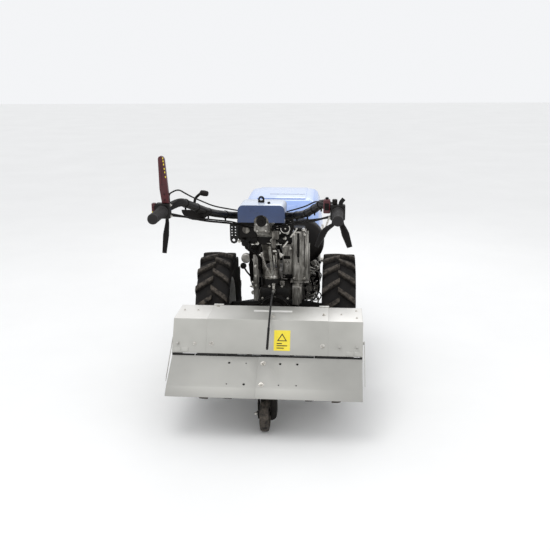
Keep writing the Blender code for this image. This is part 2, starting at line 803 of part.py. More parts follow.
def build_clamps(tilt_axis):
    for word, side in (("left", -1), ("right", 1)):
        x = side * GRIP_HALF_SPACING
        low = (x - CLAMP_HALF, CLAMP_START - CLAMP_LENGTH + 0.004, CLAMP_BOTTOM)
        high = (x + CLAMP_HALF, CLAMP_START, CLAMP_TOP)
        clamp = finish_mesh(f"clamp_{word}", slab(low, high, 0.005), "black_paint", tilt_axis)
        cut(clamp, disc("Y", (x, 0, GRIP_HEIGHT), BAR_RADIUS + 0.0006, -1.0, -0.8, 20))
        y = CLAMP_START - CLAMP_LENGTH / 2
        if side < 0:
            edge = x - CLAMP_HALF
            join(clamp, slab((edge - 0.012, y - 0.012, 0.960), (edge + 0.002, y + 0.012, 0.992), 0.003))
        else:
            foot = (x + 0.010, y, CLAMP_TOP - 0.003)
            join(clamp, swept(lever_path(foot, 0.010, (x + 0.020, y, 1.018)), 0.008, 8, 0.6))


def build_levers(tilt_axis):
    y = CLAMP_START - CLAMP_LENGTH / 2
    x = GRIP_HALF_SPACING
    top = CLAMP_TOP + SEAT_GAP
    outline = [
        (-x - 0.002, top),
        (-x + 0.025, top),
        (-x + 0.022, top + 0.045),
        (-x + 0.013, LEVER_TOP - 0.006),
        (-x + 0.004, LEVER_TOP),
        (-x - 0.008, LEVER_TOP - 0.010),
        (-x - 0.008, top + 0.050),
    ]
    blade = prism(outline, "Y", y - 0.009, y + 0.009)
    finish_mesh("safety_lever", blade, "lever_red", tilt_axis, smooth=False)

    below = CLAMP_BOTTOM - SEAT_GAP
    corners = [(-x + 0.010, y - 0.012, 0.900), (-x + 0.002, y - 0.026, 0.814)]
    path = lever_path((-x + 0.012, y, below), -0.015, *corners)
    finish_mesh("left_lower_lever", swept(path, 0.010, 8, 0.6), "black_plastic", tilt_axis)
    corners = [(x + 0.024, y - 0.012, 0.908), (x + 0.046, y - 0.026, 0.846)]
    path = lever_path((x + 0.014, y, below), -0.015, *corners)
    finish_mesh("right_outer_lever", swept(path, 0.010, 8, 0.6), "black_plastic", tilt_axis)
    corners = [(x - 0.045, y + 0.030, 0.900), (x - 0.076, y + 0.060, 0.826)]
    path = lever_path((x - 0.014, y, below), -0.015, *corners)
    finish_mesh("right_inner_lever", swept(path, 0.011, 8, 0.7), "black_plastic", tilt_axis)
    side = x - CLAMP_HALF - SEAT_GAP
    switch = slab((side - 0.024, y - 0.014, 0.968), (side, y + 0.014, 1.016), 0.004)
    finish_mesh("right_switch", switch, "lever_red", tilt_axis)


def build_cables(tilt_axis):
    """A control cable beside each handlebar, from its clamp to the mast."""
    lift = BAR_RADIUS + CABLE_RADIUS + 0.002
    inner = GRIP_HALF_SPACING - CLAMP_HALF * 0.5
    for word, side in (("left", -1), ("right", 1)):
        points = [
            (inner, CLAMP_START + SEAT_GAP, GRIP_HEIGHT - lift),
            (inner, CLAMP_START + 0.030, GRIP_HEIGHT - lift),
            (0.205, -0.700, 0.888),
            (0.127, MAST_TOP_Y - 0.035, 0.842),
            (0.075, MAST_TOP_Y + 0.005, MAST_TOP_Z - 0.050),
            (MAST_HALF_WIDTH + CABLE_RADIUS + 0.0006, MAST_TOP_Y + 0.060, MAST_TOP_Z - 0.062),
            (MAST_HALF_WIDTH + CABLE_RADIUS + 0.0006, -0.180, 0.655),
        ]
        path = bent_path([mirrored(side, p) for p in points], 0.05, 3)
        finish_mesh(f"control_cable_{word}", swept(path, CABLE_RADIUS, 6), "black_plastic", tilt_axis)


# ---- tiller ----
def build_tiller_case(machine):
    rear = GEARBOX_REAR - COUPLING_LENGTH
    ring = [
        (GEARBOX_REAR - SEAT_GAP, 0),
        (GEARBOX_REAR - SEAT_GAP, COUPLING_RADIUS),
        (GEARBOX_REAR - 0.014, COUPLING_RADIUS),
        (GEARBOX_REAR - 0.018, COUPLING_RADIUS - 0.010),
        (rear + 0.014, COUPLING_RADIUS - 0.010),
        (rear + 0.010, COUPLING_RADIUS),
        (rear, COUPLING_RADIUS),
        (rear, 0),
    ]
    finish_mesh("tiller_coupling", turned(ring, "Y", (0, 0, SHAFT_HEIGHT), 24), "cast_black", machine)

    outline = belt(
        (ROTOR_Y, ROTOR_Z), CASE_BOTTOM_RADIUS, (CASE_TOP_Y, SHAFT_HEIGHT), CASE_TOP_RADIUS, steps=9
    )
    case = finish_mesh(
        "tiller_gearcase", prism(outline, "X", -CASE_HALF_WIDTH, CASE_HALF_WIDTH), "cast_black", machine
    )
    join(case, disc("Y", (0, 0, SHAFT_HEIGHT), NECK_RADIUS, CASE_TOP_Y, rear - SEAT_GAP, 20))
    roof = TILLER_TOP - SHEET - SEAT_GAP
    join(case, slab((-0.070, CASE_TOP_Y - 0.040, roof - 0.025), (0.070, CASE_TOP_Y + 0.025, roof)))
    join(case, slab((-0.018, CASE_BOSS_REAR, 0.185), (0.018, ROTOR_Y, 0.230)))
    return case


def build_tiller_hood(machine):
    section = strip(HOOD_LINE, SHEET)
    edge = TILLER_CENTRE_HALF
    centre = finish_mesh("tiller_hood_centre", prism(section, "X", -edge, edge), "sheet_grey", machine)
    opening = NECK_RADIUS + 0.006
    cut(centre, disc("Y", (0, 0, SHAFT_HEIGHT), opening, HOOD_LINE[1][0] - 0.02, HOOD_LINE[0][0] + 0.02, 24))
    low = (-opening, HOOD_LINE[1][0] - 0.02, HOOD_LINE[0][1] - 0.02)
    cut(centre, slab(low, (opening, HOOD_LINE[0][0] + 0.02, SHAFT_HEIGHT)))

    inside = offset_line(HOOD_LINE, SHEET / 2)
    foot = HOOD_LINE[0][1] - 0.085
    plate = inside + [(HOOD_LINE[3][0] + 0.030, foot), (HOOD_LINE[0][0] - 0.020, foot)]
    stay_ends = (HOOD_LINE[2][0] - 0.010, TILLER_TOP - 0.090), (-0.742, 0.232)
    for word, side in (("left", -1), ("right", 1)):
        spans = sorted((side * (edge + SEAT_GAP), side * TILLER_HALF_WIDTH))
        wing = finish_mesh(f"tiller_hood_wing_{word}", prism(section, "X", *spans), "sheet_grey", machine)
        outer = TILLER_HALF_WIDTH - SHEET
        spans = sorted((side * (outer - SHEET), side * outer))
        join(wing, prism(plate, "X", *spans))
        near = TILLER_HALF_WIDTH + STAY_GAP
        spans = sorted((side * near, side * (near + SHEET)))
        join(wing, prism(belt(stay_ends[0], 0.009, stay_ends[1], 0.008, 6), "X", *spans))
        spans = sorted((side * (outer - SHEET / 2), side * (near + SHEET / 2)))
        join(wing, disc("X", (0, *stay_ends[0]), 0.006, *spans, 12))


def build_rotor(machine):
    axis = add_axis("tine_rotor_axis", (0, ROTOR_Y, ROTOR_Z), machine)
    for word, side in (("left", -1), ("right", 1)):
        start = CASE_HALF_WIDTH + ROTOR_CLEARANCE
        tube = [(start, 0), (start, 0.036), (start + 0.010, 0.036), (start + 0.012, 0.024)]
        for place in FLANGES:
            low, high = place - 0.004, place + 0.004
            tube += [(low, 0.024), (low, 0.060), (high, 0.060), (high, 0.024)]
        tube += [(ROTOR_REACH, 0.024), (ROTOR_REACH, 0)]
        shape = turned([(side * w, r) for w, r in tube], "X", (0, ROTOR_Y, ROTOR_Z), 16)
        rotor = finish_mesh(f"tine_rotor_{word}", shape, "tine_steel", axis)
        for row, place in enumerate(FLANGES):
            for blade in range(4):
                turn = math.radians(90 * blade + 30 * row + 15)
                foot = TINE_FOOT if blade % 2 else -TINE_FOOT
                out = Vector((0, math.cos(turn), math.sin(turn)))
                root = Vector((side * place, ROTOR_Y, ROTOR_Z))
                bend = root + out * (ROTOR_RADIUS - 0.007)
                path = bent_path([root + out * 0.040, bend, bend + Vector((side * foot, 0, 0))], 0.022, 3)
                join(rotor, swept(path, 0.0055, 4, 3.4))


def flap_hinge():
    """The hinge's (y, z): just past the hood's lower rear edge, in line with its slope."""
    edge, above = Vector(HOOD_LINE[3]), Vector(HOOD_LINE[2])
    return tuple(edge + (edge - above).normalized() * (FLAP_BEAD + FLAP_HINGE_GAP))


def flap_line():
    """The flap's outer face from its hinge to its lower edge, seen from the side."""
    line = [flap_hinge()]
    reach = ((FLAP_LENGTH - FLAP_LIP, FLAP_ANGLE), (FLAP_LIP, FLAP_ANGLE + FLAP_LIP_ANGLE))
    for length, slope in reach:
        last = line[-1]
        slope = math.radians(slope)
        line.append((last[0] - length * math.cos(slope), last[1] - length * math.sin(slope)))
    return line


def build_flap(machine):
    axis = add_axis("rear_flap_axis", (0, *flap_hinge()), machine)
    bead = disc("X", (0, *flap_hinge()), FLAP_BEAD, -FLAP_HALF_WIDTH, FLAP_HALF_WIDTH, 12)
    flap = finish_mesh("rear_flap", bead, "sheet_grey", axis)
    join(flap, prism(strip(flap_line(), SHEET), "X", -FLAP_HALF_WIDTH, FLAP_HALF_WIDTH))
    return flap


def build_depth_wheel(machine):
    centre = (0, DEPTH_WHEEL_Y, DEPTH_WHEEL_RADIUS)
    axis = add_axis("depth_wheel_axis", centre, machine)
    half = DEPTH_WHEEL_WIDTH / 2
    pin = 0.008
    tread = flat_radius(DEPTH_WHEEL_RADIUS, DEPTH_WHEEL_SEGMENTS)
    wheel = [
        (half, pin + 0.0006),
        (half, 0.026),
        (half - 0.006, 0.028),
        (half - 0.006, 0.050),
        (half, 0.054),
        (half, tread - 0.008),
        (half - 0.008, tread),
    ]
    wheel += [(-w, r) for w, r in wheel[::-1]]
    finish_mesh("depth_wheel", turned(wheel, "X", centre, DEPTH_WHEEL_SEGMENTS), "tyre_rubber", axis)

    inner = half + FORK_GAP
    roof = 2 * DEPTH_WHEEL_RADIUS + 0.006
    left = -inner - FORK_PLATE
    right = inner + 0.026
    y, z = DEPTH_WHEEL_Y, DEPTH_WHEEL_RADIUS
    cheek = arc((y, z), 0.022, 180, 360, 6) + [(y + 0.026, roof + 0.010), (y - 0.022, roof + 0.010)]
    fork = finish_mesh("depth_wheel_fork", prism(cheek, "X", left, -inner), "cast_black", machine)
    lobe = arc((inner, z + 0.006), right - inner, -90, 0, 5) + [(right, roof + 0.012), (inner, roof + 0.012)]
    join(fork, prism(lobe, "Y", y - 0.0205, y + 0.0245))
    join(fork, slab((left - 0.001, y - 0.023, roof), (right + 0.001, y + 0.027, roof + 0.050), 0.004))
    join(fork, slab((-0.018, y, 0.185), (0.018, CASE_BOSS_REAR - SEAT_GAP, 0.222)))
    join(fork, disc("X", (0, y, z), pin, left - 0.008, inner + 0.012, 14))
    return fork


def build_hitch_lever(machine):
    """The thin coupling lever that curves back over the tiller hood."""
    points = [
        (0.0, GEARBOX_REAR - COUPLING_LENGTH / 2, SHAFT_HEIGHT + COUPLING_RADIUS - 0.010 + SEAT_GAP),
        (0.0, GEARBOX_REAR - COUPLING_LENGTH / 2, 0.450),
        (0.002, -0.290, 0.485),
        (0.006, -0.420, 0.500),
        (0.011, -0.600, 0.470),
        (0.015, -0.765, 0.385),
    ]
    finish_mesh("hitch_lever", swept(bent_path(points, 0.09, 3), 0.005, 6), "black_paint", machine)


def main():
    clear_scene()
    machine = add_axis("walking_tractor", (0, 0, 0))
    build_wheels(machine)
    build_transmission(machine)
    build_engine(machine)
    build_bumper(machine)
    build_engine_hood(machine)
    build_engine_fittings(machine)
    swivel_axis, tilt_axis = build_column(machine)
    build_mast(tilt_axis)
    build_bars(tilt_axis)
    build_cover(tilt_axis)
    build_clamps(tilt_axis)
    build_levers(tilt_axis)
    build_cables(tilt_axis)
    build_tiller_case(machine)
    build_tiller_hood(machine)
    build_rotor(machine)
    build_flap(machine)
    build_depth_wheel(machine)
    build_hitch_lever(machine)
    front = starter_front() + BUMPER_REACH + BUMPER_TUBE
    rear = GRIP_START - GRIP_LENGTH
    swivel_axis.location.x = COLUMN_X
    machine.location.y = -(front + rear) / 2
    bpy.context.view_layer.update()


main()
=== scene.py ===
import bpy, math
from mathutils import Matrix, Vector


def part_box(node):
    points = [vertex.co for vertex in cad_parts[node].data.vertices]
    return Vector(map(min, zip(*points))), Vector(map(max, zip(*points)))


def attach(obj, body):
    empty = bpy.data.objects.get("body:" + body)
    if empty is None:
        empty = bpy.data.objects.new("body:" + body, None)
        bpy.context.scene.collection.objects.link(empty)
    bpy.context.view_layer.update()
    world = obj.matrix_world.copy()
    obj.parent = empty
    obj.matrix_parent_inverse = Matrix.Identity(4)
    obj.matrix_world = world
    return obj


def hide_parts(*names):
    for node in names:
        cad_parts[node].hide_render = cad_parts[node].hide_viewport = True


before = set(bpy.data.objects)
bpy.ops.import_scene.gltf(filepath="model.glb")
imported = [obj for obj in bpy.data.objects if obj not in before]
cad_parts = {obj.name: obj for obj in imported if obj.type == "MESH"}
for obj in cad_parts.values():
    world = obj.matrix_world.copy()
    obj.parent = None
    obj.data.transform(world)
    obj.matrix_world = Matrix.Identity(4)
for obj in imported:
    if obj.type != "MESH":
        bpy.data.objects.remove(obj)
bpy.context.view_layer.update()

mergeGap = 0.00001
bpy.ops.object.select_all(action="DESELECT")

# places every piece is set out from
wheelLow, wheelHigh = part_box("tyre_right")
axle = Vector((0, (wheelLow.y + wheelHigh.y) / 2, wheelHigh.z / 2))
axleY = axle.y


def at(x, y, z):
    # y counted from the wheel axle, the way the machine is drawn
    return Vector((x, y + axleY, z))


def fromAxle(line):
    return [(y + axleY, z) for y, z in line]


def circle(count, start=0):
    # cosine and sine of evenly spaced angles
    angles = [math.radians(360 / count * k + start) for k in range(count)]
    return [(math.cos(a), math.sin(a)) for a in angles]


def srgb(hexColour):
    parts = [int(hexColour[i:i + 2], 16) / 255 for i in (1, 3, 5)]
    return tuple(c / 12.92 if c <= 0.04045 else ((c + 0.055) / 1.055) ** 2.4 for c in parts) + (1.0,)


def addNode(tree, kind, settings=None, links=None):
    made = tree.nodes.new(kind)
    for key, value in (settings or {}).items():
        if isinstance(key, str) and hasattr(made, key):
            setattr(made, key, value)
        else:
            made.inputs[key].default_value = value
    for key, source in (links or {}).items():
        tree.links.new(source, made.inputs[key])
    return made


def ramp(tree, source, stops):
    made = addNode(tree, "ShaderNodeValToRGB", links={"Fac": source})
    marks = made.color_ramp.elements
    while len(marks) < len(stops):
        marks.new(0.5)
    for mark, (place, colour) in zip(marks, stops):
        mark.position = place
        mark.color = srgb(colour) if isinstance(colour, str) else (colour, colour, colour, 1)
    return made


def spread(tree, source, low, high):
    # 0 where the source is at low, 1 where it is at high
    made = addNode(tree, "ShaderNodeMapRange", {"From Min": low, "From Max": high}, {"Value": source})
    return made.outputs["Result"]


def times(tree, first, second):
    return addNode(tree, "ShaderNodeMath", {"operation": "MULTIPLY"},
        {0: first, 1: second}).outputs["Value"]


def overlay(tree, amount, tone):
    # a second tone over the material's own colour
    shader = tree.nodes["Principled BSDF"]
    base = shader.inputs["Base Color"].links[0].from_socket
    settings = {"data_type": "RGBA", 7: srgb(tone)}
    mixed = addNode(tree, "ShaderNodeMix", settings, {"Factor": amount, 6: base})
    tree.links.new(mixed.outputs[2], shader.inputs["Base Color"])


def surface(name, settings, colours, patchMm=60, grainMm=2.0, bumpMm=0.15, roughBand=(0.4, 0.6), detail=6,
        stretch=(1, 1, 1)):
    # colour wanders over patchMm, and a grain of grainMm stands bumpMm proud
    made = bpy.data.materials.new(name)
    made.use_nodes = True
    tree = made.node_tree
    shader = tree.nodes["Principled BSDF"]
    for key, value in settings.items():
        shader.inputs[key].default_value = value
    where = addNode(tree, "ShaderNodeTexCoord").outputs["Object"]
    place = addNode(tree, "ShaderNodeVectorMath", {"operation": "MULTIPLY", 1: stretch},
        {0: where}).outputs["Vector"]
    patches = addNode(tree, "ShaderNodeTexNoise", {"Scale": 1000 / patchMm, "Detail": detail,
        "Roughness": 0.62}, {"Vector": place})
    grain = addNode(tree, "ShaderNodeTexNoise", {"Scale": 1000 / grainMm, "Detail": 3}, {"Vector": place})
    tint = ramp(tree, patches.outputs["Fac"], colours)
    tree.links.new(tint.outputs["Color"], shader.inputs["Base Color"])
    rough = addNode(tree, "ShaderNodeMapRange", {"From Min": 0.3, "From Max": 0.7, "To Min": roughBand[0],
        "To Max": roughBand[1]}, {"Value": patches.outputs["Fac"]})
    tree.links.new(rough.outputs["Result"], shader.inputs["Roughness"])
    bump = addNode(tree, "ShaderNodeBump", {"Strength": 0.6, "Distance": bumpMm / 1000},
        {"Height": grain.outputs["Fac"]})
    tree.links.new(bump.outputs["Normal"], shader.inputs["Normal"])
    return made


# natural rubber from a mould: nearly black, dull, dusted brown-grey in patches
mouldedRubber = surface("mouldedTyreRubber", {"IOR": 1.52, "Specular IOR Level": 0.2},
    [(0.3, "#121111"), (0.55, "#1b1918"), (0.78, "#35312d")], 45, 1.2, 0.25, (0.62, 0.9))


def dustTread():
    # dried soil on the crest of each lug, none down in the grooves
    tree = mouldedRubber.node_tree
    where = addNode(tree, "ShaderNodeTexCoord").outputs["Object"]
    spoke = addNode(tree, "ShaderNodeVectorMath", {"operation": "SUBTRACT", 1: (0, axle.y, axle.z)},
        {0: where})
    across = addNode(tree, "ShaderNodeVectorMath", {"operation": "MULTIPLY", 1: (0, 1, 1)},
        {0: spoke.outputs["Vector"]})
    reach = addNode(tree, "ShaderNodeVectorMath", {"operation": "LENGTH"}, {0: across.outputs["Vector"]})
    crest = spread(tree, reach.outputs["Value"], 0.266, 0.286)
    soil = addNode(tree, "ShaderNodeTexNoise", {"Scale": 60, "Detail": 8, "Roughness": 0.7},
        {"Vector": where})
    amount = spread(tree, soil.outputs["Fac"], 0.38, 0.66)
    overlay(tree, times(tree, crest, amount), "#5d564e")


dustTread()
# enamel on pressed steel: pale grey with a soft gloss
rimEnamel = surface("sprayedRimEnamel", {"IOR": 1.5, "Metallic": 0.1},
    [(0.25, "#a5a5a2"), (0.6, "#bdbdba"), (0.9, "#cfcfcb")], 70, 1.5, 0.05, (0.32, 0.48))
# sand-cast iron under a thin black paint: coarse skin that breaks up the light
castIron = surface("sandCastIronPaintedBlack", {"IOR": 1.5, "Specular IOR Level": 0.18},
    [(0.25, "#090807"), (0.55, "#141210"), (0.8, "#38332e")], 28, 3.0, 0.6, (0.38, 0.62))
# pressure die casting, bare: light grey with a frosted sheen and darker oil stains
dieCast = surface("dieCastAluminium", {"Metallic": 0.85},
    [(0.25, "#5a5752"), (0.5, "#a19e98"), (0.75, "#d0cdc6")], 22, 1.6, 0.35, (0.34, 0.6))
# glossy moulded cover: clear mid blue that washes out to a pale blue under light
hoodBlue = surface("mouldedBlueGloss", {"IOR": 1.5, "Coat Weight": 0.5, "Coat Roughness": 0.08},
    [(0.3, "#93aee6"), (0.6, "#a1baec"), (0.9, "#b1c6f1")], 160, 1.0, 0.02, (0.22, 0.32))
columnBlue = surface("mouldedDeepBlueGloss", {"IOR": 1.5, "Coat Weight": 0.4, "Coat Roughness": 0.1},
    [(0.3, "#22345a"), (0.6, "#2b4069"), (0.9, "#3a5078")], 90, 1.0, 0.02, (0.25, 0.36))


def paintLightOnUpFaces(cover, litTone, low, high):
    # painted light: faces that look up are paled towards a lighter tone, as if lit from above
    tree = cover.node_tree
    normal = addNode(tree, "ShaderNodeNewGeometry").outputs["Normal"]
    turn = addNode(tree, "ShaderNodeSeparateXYZ", links={"Vector": normal})
    overlay(tree, spread(tree, turn.outputs["Z"], low, high), litTone)


# painted light: the column cover's upward faces are paled, so its top reads lit against the deep blue of
# its other faces
paintLightOnUpFaces(columnBlue, "#c3ccdc", 0.25, 0.95)
# painted highlight: the hood's nearly flat upward faces are paled, standing in for the backdrop's
# reflection on its top
paintLightOnUpFaces(hoodBlue, "#c4d2ee", 0.9, 1.0)
# powder coat on steel tube: even black with a fine orange peel
powderCoat = surface("blackPowderCoat", {"IOR": 1.5, "Specular IOR Level": 0.25},
    [(0.3, "#090808"), (0.6, "#110f0e"), (0.9, "#23201d")], 35, 1.1, 0.06, (0.3, 0.48))
# textured ABS: grey-black, matt, with a leathery grain
blackAbs = surface("grainedBlackAbs", {"IOR": 1.53, "Specular IOR Level": 0.16},
    [(0.3, "#0a0807"), (0.6, "#110e0c"), (0.9, "#221d1a")], 40, 0.9, 0.12, (0.42, 0.62))
# bright zinc plate: silvery with a faint straw tint
zincPlate = surface("brightZincPlate", {"Metallic": 0.9},
    [(0.25, "#a29e96"), (0.55, "#d4d1ca"), (0.85, "#efeeea")], 14, 0.8, 0.04, (0.2, 0.38))
# dark red moulding with a satin skin
redAbs = surface("mouldedRedAbs", {"IOR": 1.53},
    [(0.3, "#3d0c12"), (0.6, "#4b1018"), (0.9, "#62171f")], 25, 1.0, 0.05, (0.32, 0.45))
# hot-forged spring steel: brown-grey scale, bright only where soil has rubbed it
forgedSteel = surface("forgedTineSteel", {"Metallic": 0.75},
    [(0.25, "#2b2622"), (0.55, "#4a433c"), (0.85, "#7a7067")], 18, 1.4, 0.3, (0.42, 0.66))
# soft rubber hand grip
gripRubber = surface("mouldedGripRubber", {"IOR": 1.52, "Specular IOR Level": 0.3},
    [(0.3, "#1a1919"), (0.6, "#242222"), (0.9, "#33302f")], 18, 0.8, 0.1, (0.55, 0.75))


def sheetSteel(name, tones, highlightTone):
    # rolled sheet under silver-grey paint: smooth and even, with a painted highlight that pales both ends
    # of the flat top
    made = surface(name, {"IOR": 1.5, "Metallic": 0.35, "Coat Weight": 0.1, "Coat Roughness": 0.3},
        [(0.25, tones[0]), (0.55, tones[1]), (0.85, tones[2])], 240, 1.4, 0.03, (0.34, 0.46), 3)
    tree = made.node_tree
    where = addNode(tree, "ShaderNodeTexCoord").outputs["Object"]
    axes = addNode(tree, "ShaderNodeSeparateXYZ", links={"Vector": where})
    outward = addNode(tree, "ShaderNodeMath", {"operation": "ABSOLUTE"}, {0: axes.outputs["X"]})
    # painted highlight: upward flat faces away from the middle are paled, standing in for the backdrop's
    # reflection along the flat top
    ends = spread(tree, outward.outputs["Value"], 0.1, 0.3)
    normal = addNode(tree, "ShaderNodeNewGeometry").outputs["True Normal"]
    turn = addNode(tree, "ShaderNodeSeparateXYZ", links={"Vector": normal})
    up = spread(tree, turn.outputs["Z"], 0.93, 0.99)
    overlay(tree, times(tree, ends, up), highlightTone)
    return made


sheetPaint = sheetSteel("silverGreySheetPaint", ("#a9a8a2", "#b3b2ac", "#bebdb7"), "#e6e4df")
# painted shade: a darker copy of the sheet paint for the flap, standing in for the flap catching less
# reflected light than the slope
flapShadedPaint = sheetSteel("silverGreySheetPaintShaded", ("#9c9b96", "#a4a39e", "#acaba6"), "#adaca7")

# rough grey casting of the column and brackets: mid grey, dull, with darker and paler patches drawn out
# upright
greyCasting = surface("sandCastGreyIron", {"Metallic": 0.55},
    [(0.32, "#211e1b"), (0.5, "#5f5b55"), (0.7, "#a39f97")], 18, 2.2, 0.5, (0.34, 0.56), 6, (1, 1, 0.3))
# bare aluminium casting: near-black and almost white in patches drawn out into upright streaks
streakedCast = surface("sandCastAluminiumStreaked", {"Metallic": 0.55},
    [(0.3, "#2b2825"), (0.46, "#807d77"), (0.66, "#bab7b0")], 16, 1.8, 0.5, (0.28, 0.5), 6, (1, 1, 0.22))
# zinc plate gone dull in patches: bright beside nearly black
stainedZinc = surface("zincPlateOilStained", {"Metallic": 0.9},
    [(0.36, "#2c2925"), (0.48, "#b5b2aa"), (0.7, "#efeeea")], 9, 0.8, 0.05, (0.16, 0.32))
# printed vinyl: flat warm yellow, plain pale grey, and black print
labelVinyl = surface("yellowLabelVinyl", {"IOR": 1.46}, [(0.3, "#eed838"), (0.7, "#f5e14a")], 30, 0.8, 0.02,
    (0.35, 0.45))
paleVinyl = surface("paleLabelVinyl", {"IOR": 1.46}, [(0.3, "#dcdbd6"), (0.7, "#e8e7e3")], 30, 0.8, 0.02,
    (0.35, 0.45))
inkBlack = surface("printedBlackInk", {"IOR": 1.46}, [(0.3, "#191817"), (0.7, "#262422")], 12, 0.8, 0.02,
    (0.4, 0.5))
print("materials made")


def nothingSelected():
    bpy.ops.object.select_all(action="DESELECT")


def active(piece):
    nothingSelected()
    piece.select_set(True)
    bpy.context.view_layer.objects.active = piece
    return piece


def editing(piece, *steps):
    # runs steps on the whole mesh in edit mode
    active(piece)
    bpy.ops.object.mode_set(mode="EDIT")
    bpy.ops.mesh.select_all(action="SELECT")
    for step in steps:
        step()
    bpy.ops.object.mode_set(mode="OBJECT")
    return piece


def settle(piece):
    active(piece)
    bpy.ops.object.transform_apply(location=True, rotation=True, scale=True)
    return piece


def bevelled(piece, width, segments=2, angle=40):
    if width:
        active(piece)
        edge = piece.modifiers.new("edge", "BEVEL")
        edge.width, edge.segments, edge.angle_limit = width, segments, math.radians(angle)
        bpy.ops.object.modifier_apply(modifier="edge")
    return piece


def block(low, high, edge=0.002, segments=2):
    nothingSelected()
    low, high = Vector(low), Vector(high)
    bpy.ops.mesh.primitive_cube_add(size=1, location=(low + high) / 2)
    made = bpy.context.object
    made.scale = high - low
    return bevelled(settle(made), edge, segments)


def roundBar(start, end, radius, sides=20, edge=0.0008):
    nothingSelected()
    start, end = Vector(start), Vector(end)
    along = end - start
    bpy.ops.mesh.primitive_cylinder_add(vertices=sides, radius=radius, depth=along.length,
        location=(start + end) / 2, rotation=along.to_track_quat("Z", "Y").to_euler())
    return bevelled(settle(bpy.context.object), edge, 2, 62)


axisTurns = {"X": Matrix.Rotation(math.radians(90), 4, "Y"),
    "Y": Matrix.Rotation(math.radians(-90), 4, "X"), "Z": Matrix.Identity(4)}


def lathe(profile, axis, centre, sides=40, ring=False):
    # each (along, radius) ring is drawn out of the last one and scaled to its radius
    nothingSelected()
    first = profile[0]
    bpy.ops.mesh.primitive_circle_add(vertices=sides, radius=first[1], fill_type="NOTHING" if ring
        else "NGON", location=(0, 0, first[0]))
    made = settle(bpy.context.object)
    bpy.ops.object.mode_set(mode="EDIT")
    bpy.ops.mesh.select_all(action="SELECT")
    after = list(profile[1:]) + ([first] if ring else [])
    for was, now in zip(profile, after):
        bpy.ops.mesh.extrude_region_move(TRANSFORM_OT_translate={"value": (0, 0, now[0] - was[0])})
        grow = now[1] / was[1]
        bpy.ops.transform.resize(value=(grow, grow, 1), center_override=(0, 0, now[0]))
    bpy.ops.mesh.select_all(action="SELECT")
    bpy.ops.mesh.remove_doubles(threshold=mergeGap)
    bpy.ops.mesh.normals_make_consistent(inside=False)
    bpy.ops.object.mode_set(mode="OBJECT")
    made.data.transform(Matrix.Translation(centre) @ axisTurns[axis])
    return made


def plate(outline, axis, low, high, edge=0.0, segments=2):
    # an outline drawn across the axis, then drawn out from low to high
    nothingSelected()
    bpy.ops.mesh.primitive_circle_add(vertices=len(outline), radius=1, fill_type="NGON")
    made = bpy.context.object
    spots = {"X": lambda a, b: (low, a, b), "Y": lambda a, b: (a, low, b), "Z": lambda a, b: (a, b, low)}
    for vert, corner in zip(made.data.vertices, outline):
        vert.co = spots[axis](*corner)
    step = Vector([high - low if letter == axis else 0 for letter in "XYZ"])
    editing(made, lambda: bpy.ops.mesh.extrude_region_move(TRANSFORM_OT_translate={"value": step}),
        lambda: bpy.ops.mesh.select_all(action="SELECT"),
        lambda: bpy.ops.mesh.normals_make_consistent(inside=False))
    return bevelled(made, edge, segments)


def softCorners(points, reach, steps=6):
    points = [Vector(p) for p in points]
    route = [points[0]]
    for before, here, after in zip(points, points[1:], points[2:]):
        pull = min(reach, (here - before).length * 0.45, (after - here).length * 0.45)
        start, end = here + (before - here).normalized() * pull, here + (after - here).normalized() * pull
        route += [start.lerp(here, k / steps).lerp(here.lerp(end, k / steps), k / steps)
            for k in range(steps + 1)]
    return route + [points[-1]]


def pipe(points, radius, reach=0.04, sides=12):
    # a tube along a route whose corners are rounded, with closed ends
    nothingSelected()
    bpy.ops.curve.primitive_nurbs_path_add()
    made = bpy.context.object
    made.data.splines.clear()
    route = softCorners(points, reach)
    line = made.data.splines.new("POLY")
    line.points.add(len(route) - 1)
    for knot, place in zip(line.points, route):
        knot.co = (*place, 1)
    made.location = (0, 0, 0)
    made.data.bevel_depth = radius
    made.data.bevel_resolution = sides // 2 - 2
    made.data.use_fill_caps = True
    bpy.ops.object.convert(target="MESH")
    return editing(made, lambda: bpy.ops.mesh.remove_doubles(threshold=mergeGap),
        lambda: bpy.ops.mesh.normals_make_consistent(inside=False))


def cleanCopy(node, edge=0.0, segments=2, angle=30):
    # a CAD node's mesh with its flat faces made whole again and its edges eased
    made = bpy.data.objects.new(node + "Copy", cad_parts[node].data.copy())
    bpy.context.scene.collection.objects.link(made)
    editing(made, lambda: bpy.ops.mesh.remove_doubles(threshold=mergeGap),
        lambda: bpy.ops.mesh.dissolve_limited(angle_limit=math.radians(0.8)))
    return bevelled(made, edge, segments, angle)


def copied(master, place, toward=(0, 0, 1), size=1.0):
    made = bpy.data.objects.new(master.name + "Copy", master.data.copy())
    bpy.context.scene.collection.objects.link(made)
    turn = Vector(toward).to_track_quat("Z", "Y")
    made.data.transform(Matrix.LocRotScale(Vector(place), turn, Vector((size, size, size))))
    return made


def drilled(piece, cutters):
    cutter = joined(cutters)
    active(piece)
    hole = piece.modifiers.new("holes", "BOOLEAN")
    hole.operation, hole.solver, hole.object = "DIFFERENCE", "EXACT", cutter
    bpy.ops.object.modifier_apply(modifier="holes")
    bpy.data.objects.remove(cutter)
    return piece


def joined(parts):
    nothingSelected()
    for part in parts:
        part.select_set(True)
    bpy.context.view_layer.objects.active = parts[0]
    if len(parts) > 1:
        bpy.ops.object.join()
    return parts[0]


def finished(name, parts, look, body, stands=(), smooth=32):
    # one named piece from its parts: smoothed, given its finish, and hung on its body
    piece = joined(parts if isinstance(parts, list) else [parts])
    piece.name = name
    piece.data.materials.clear()
    piece.data.materials.append(look)
    for face in piece.data.polygons:
        face.material_index = 0
    active(piece)
    bpy.ops.object.shade_smooth_by_angle(angle=math.radians(smooth))
    if stands:
        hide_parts(*([stands] if isinstance(stands, str) else stands))
    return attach(piece, body)


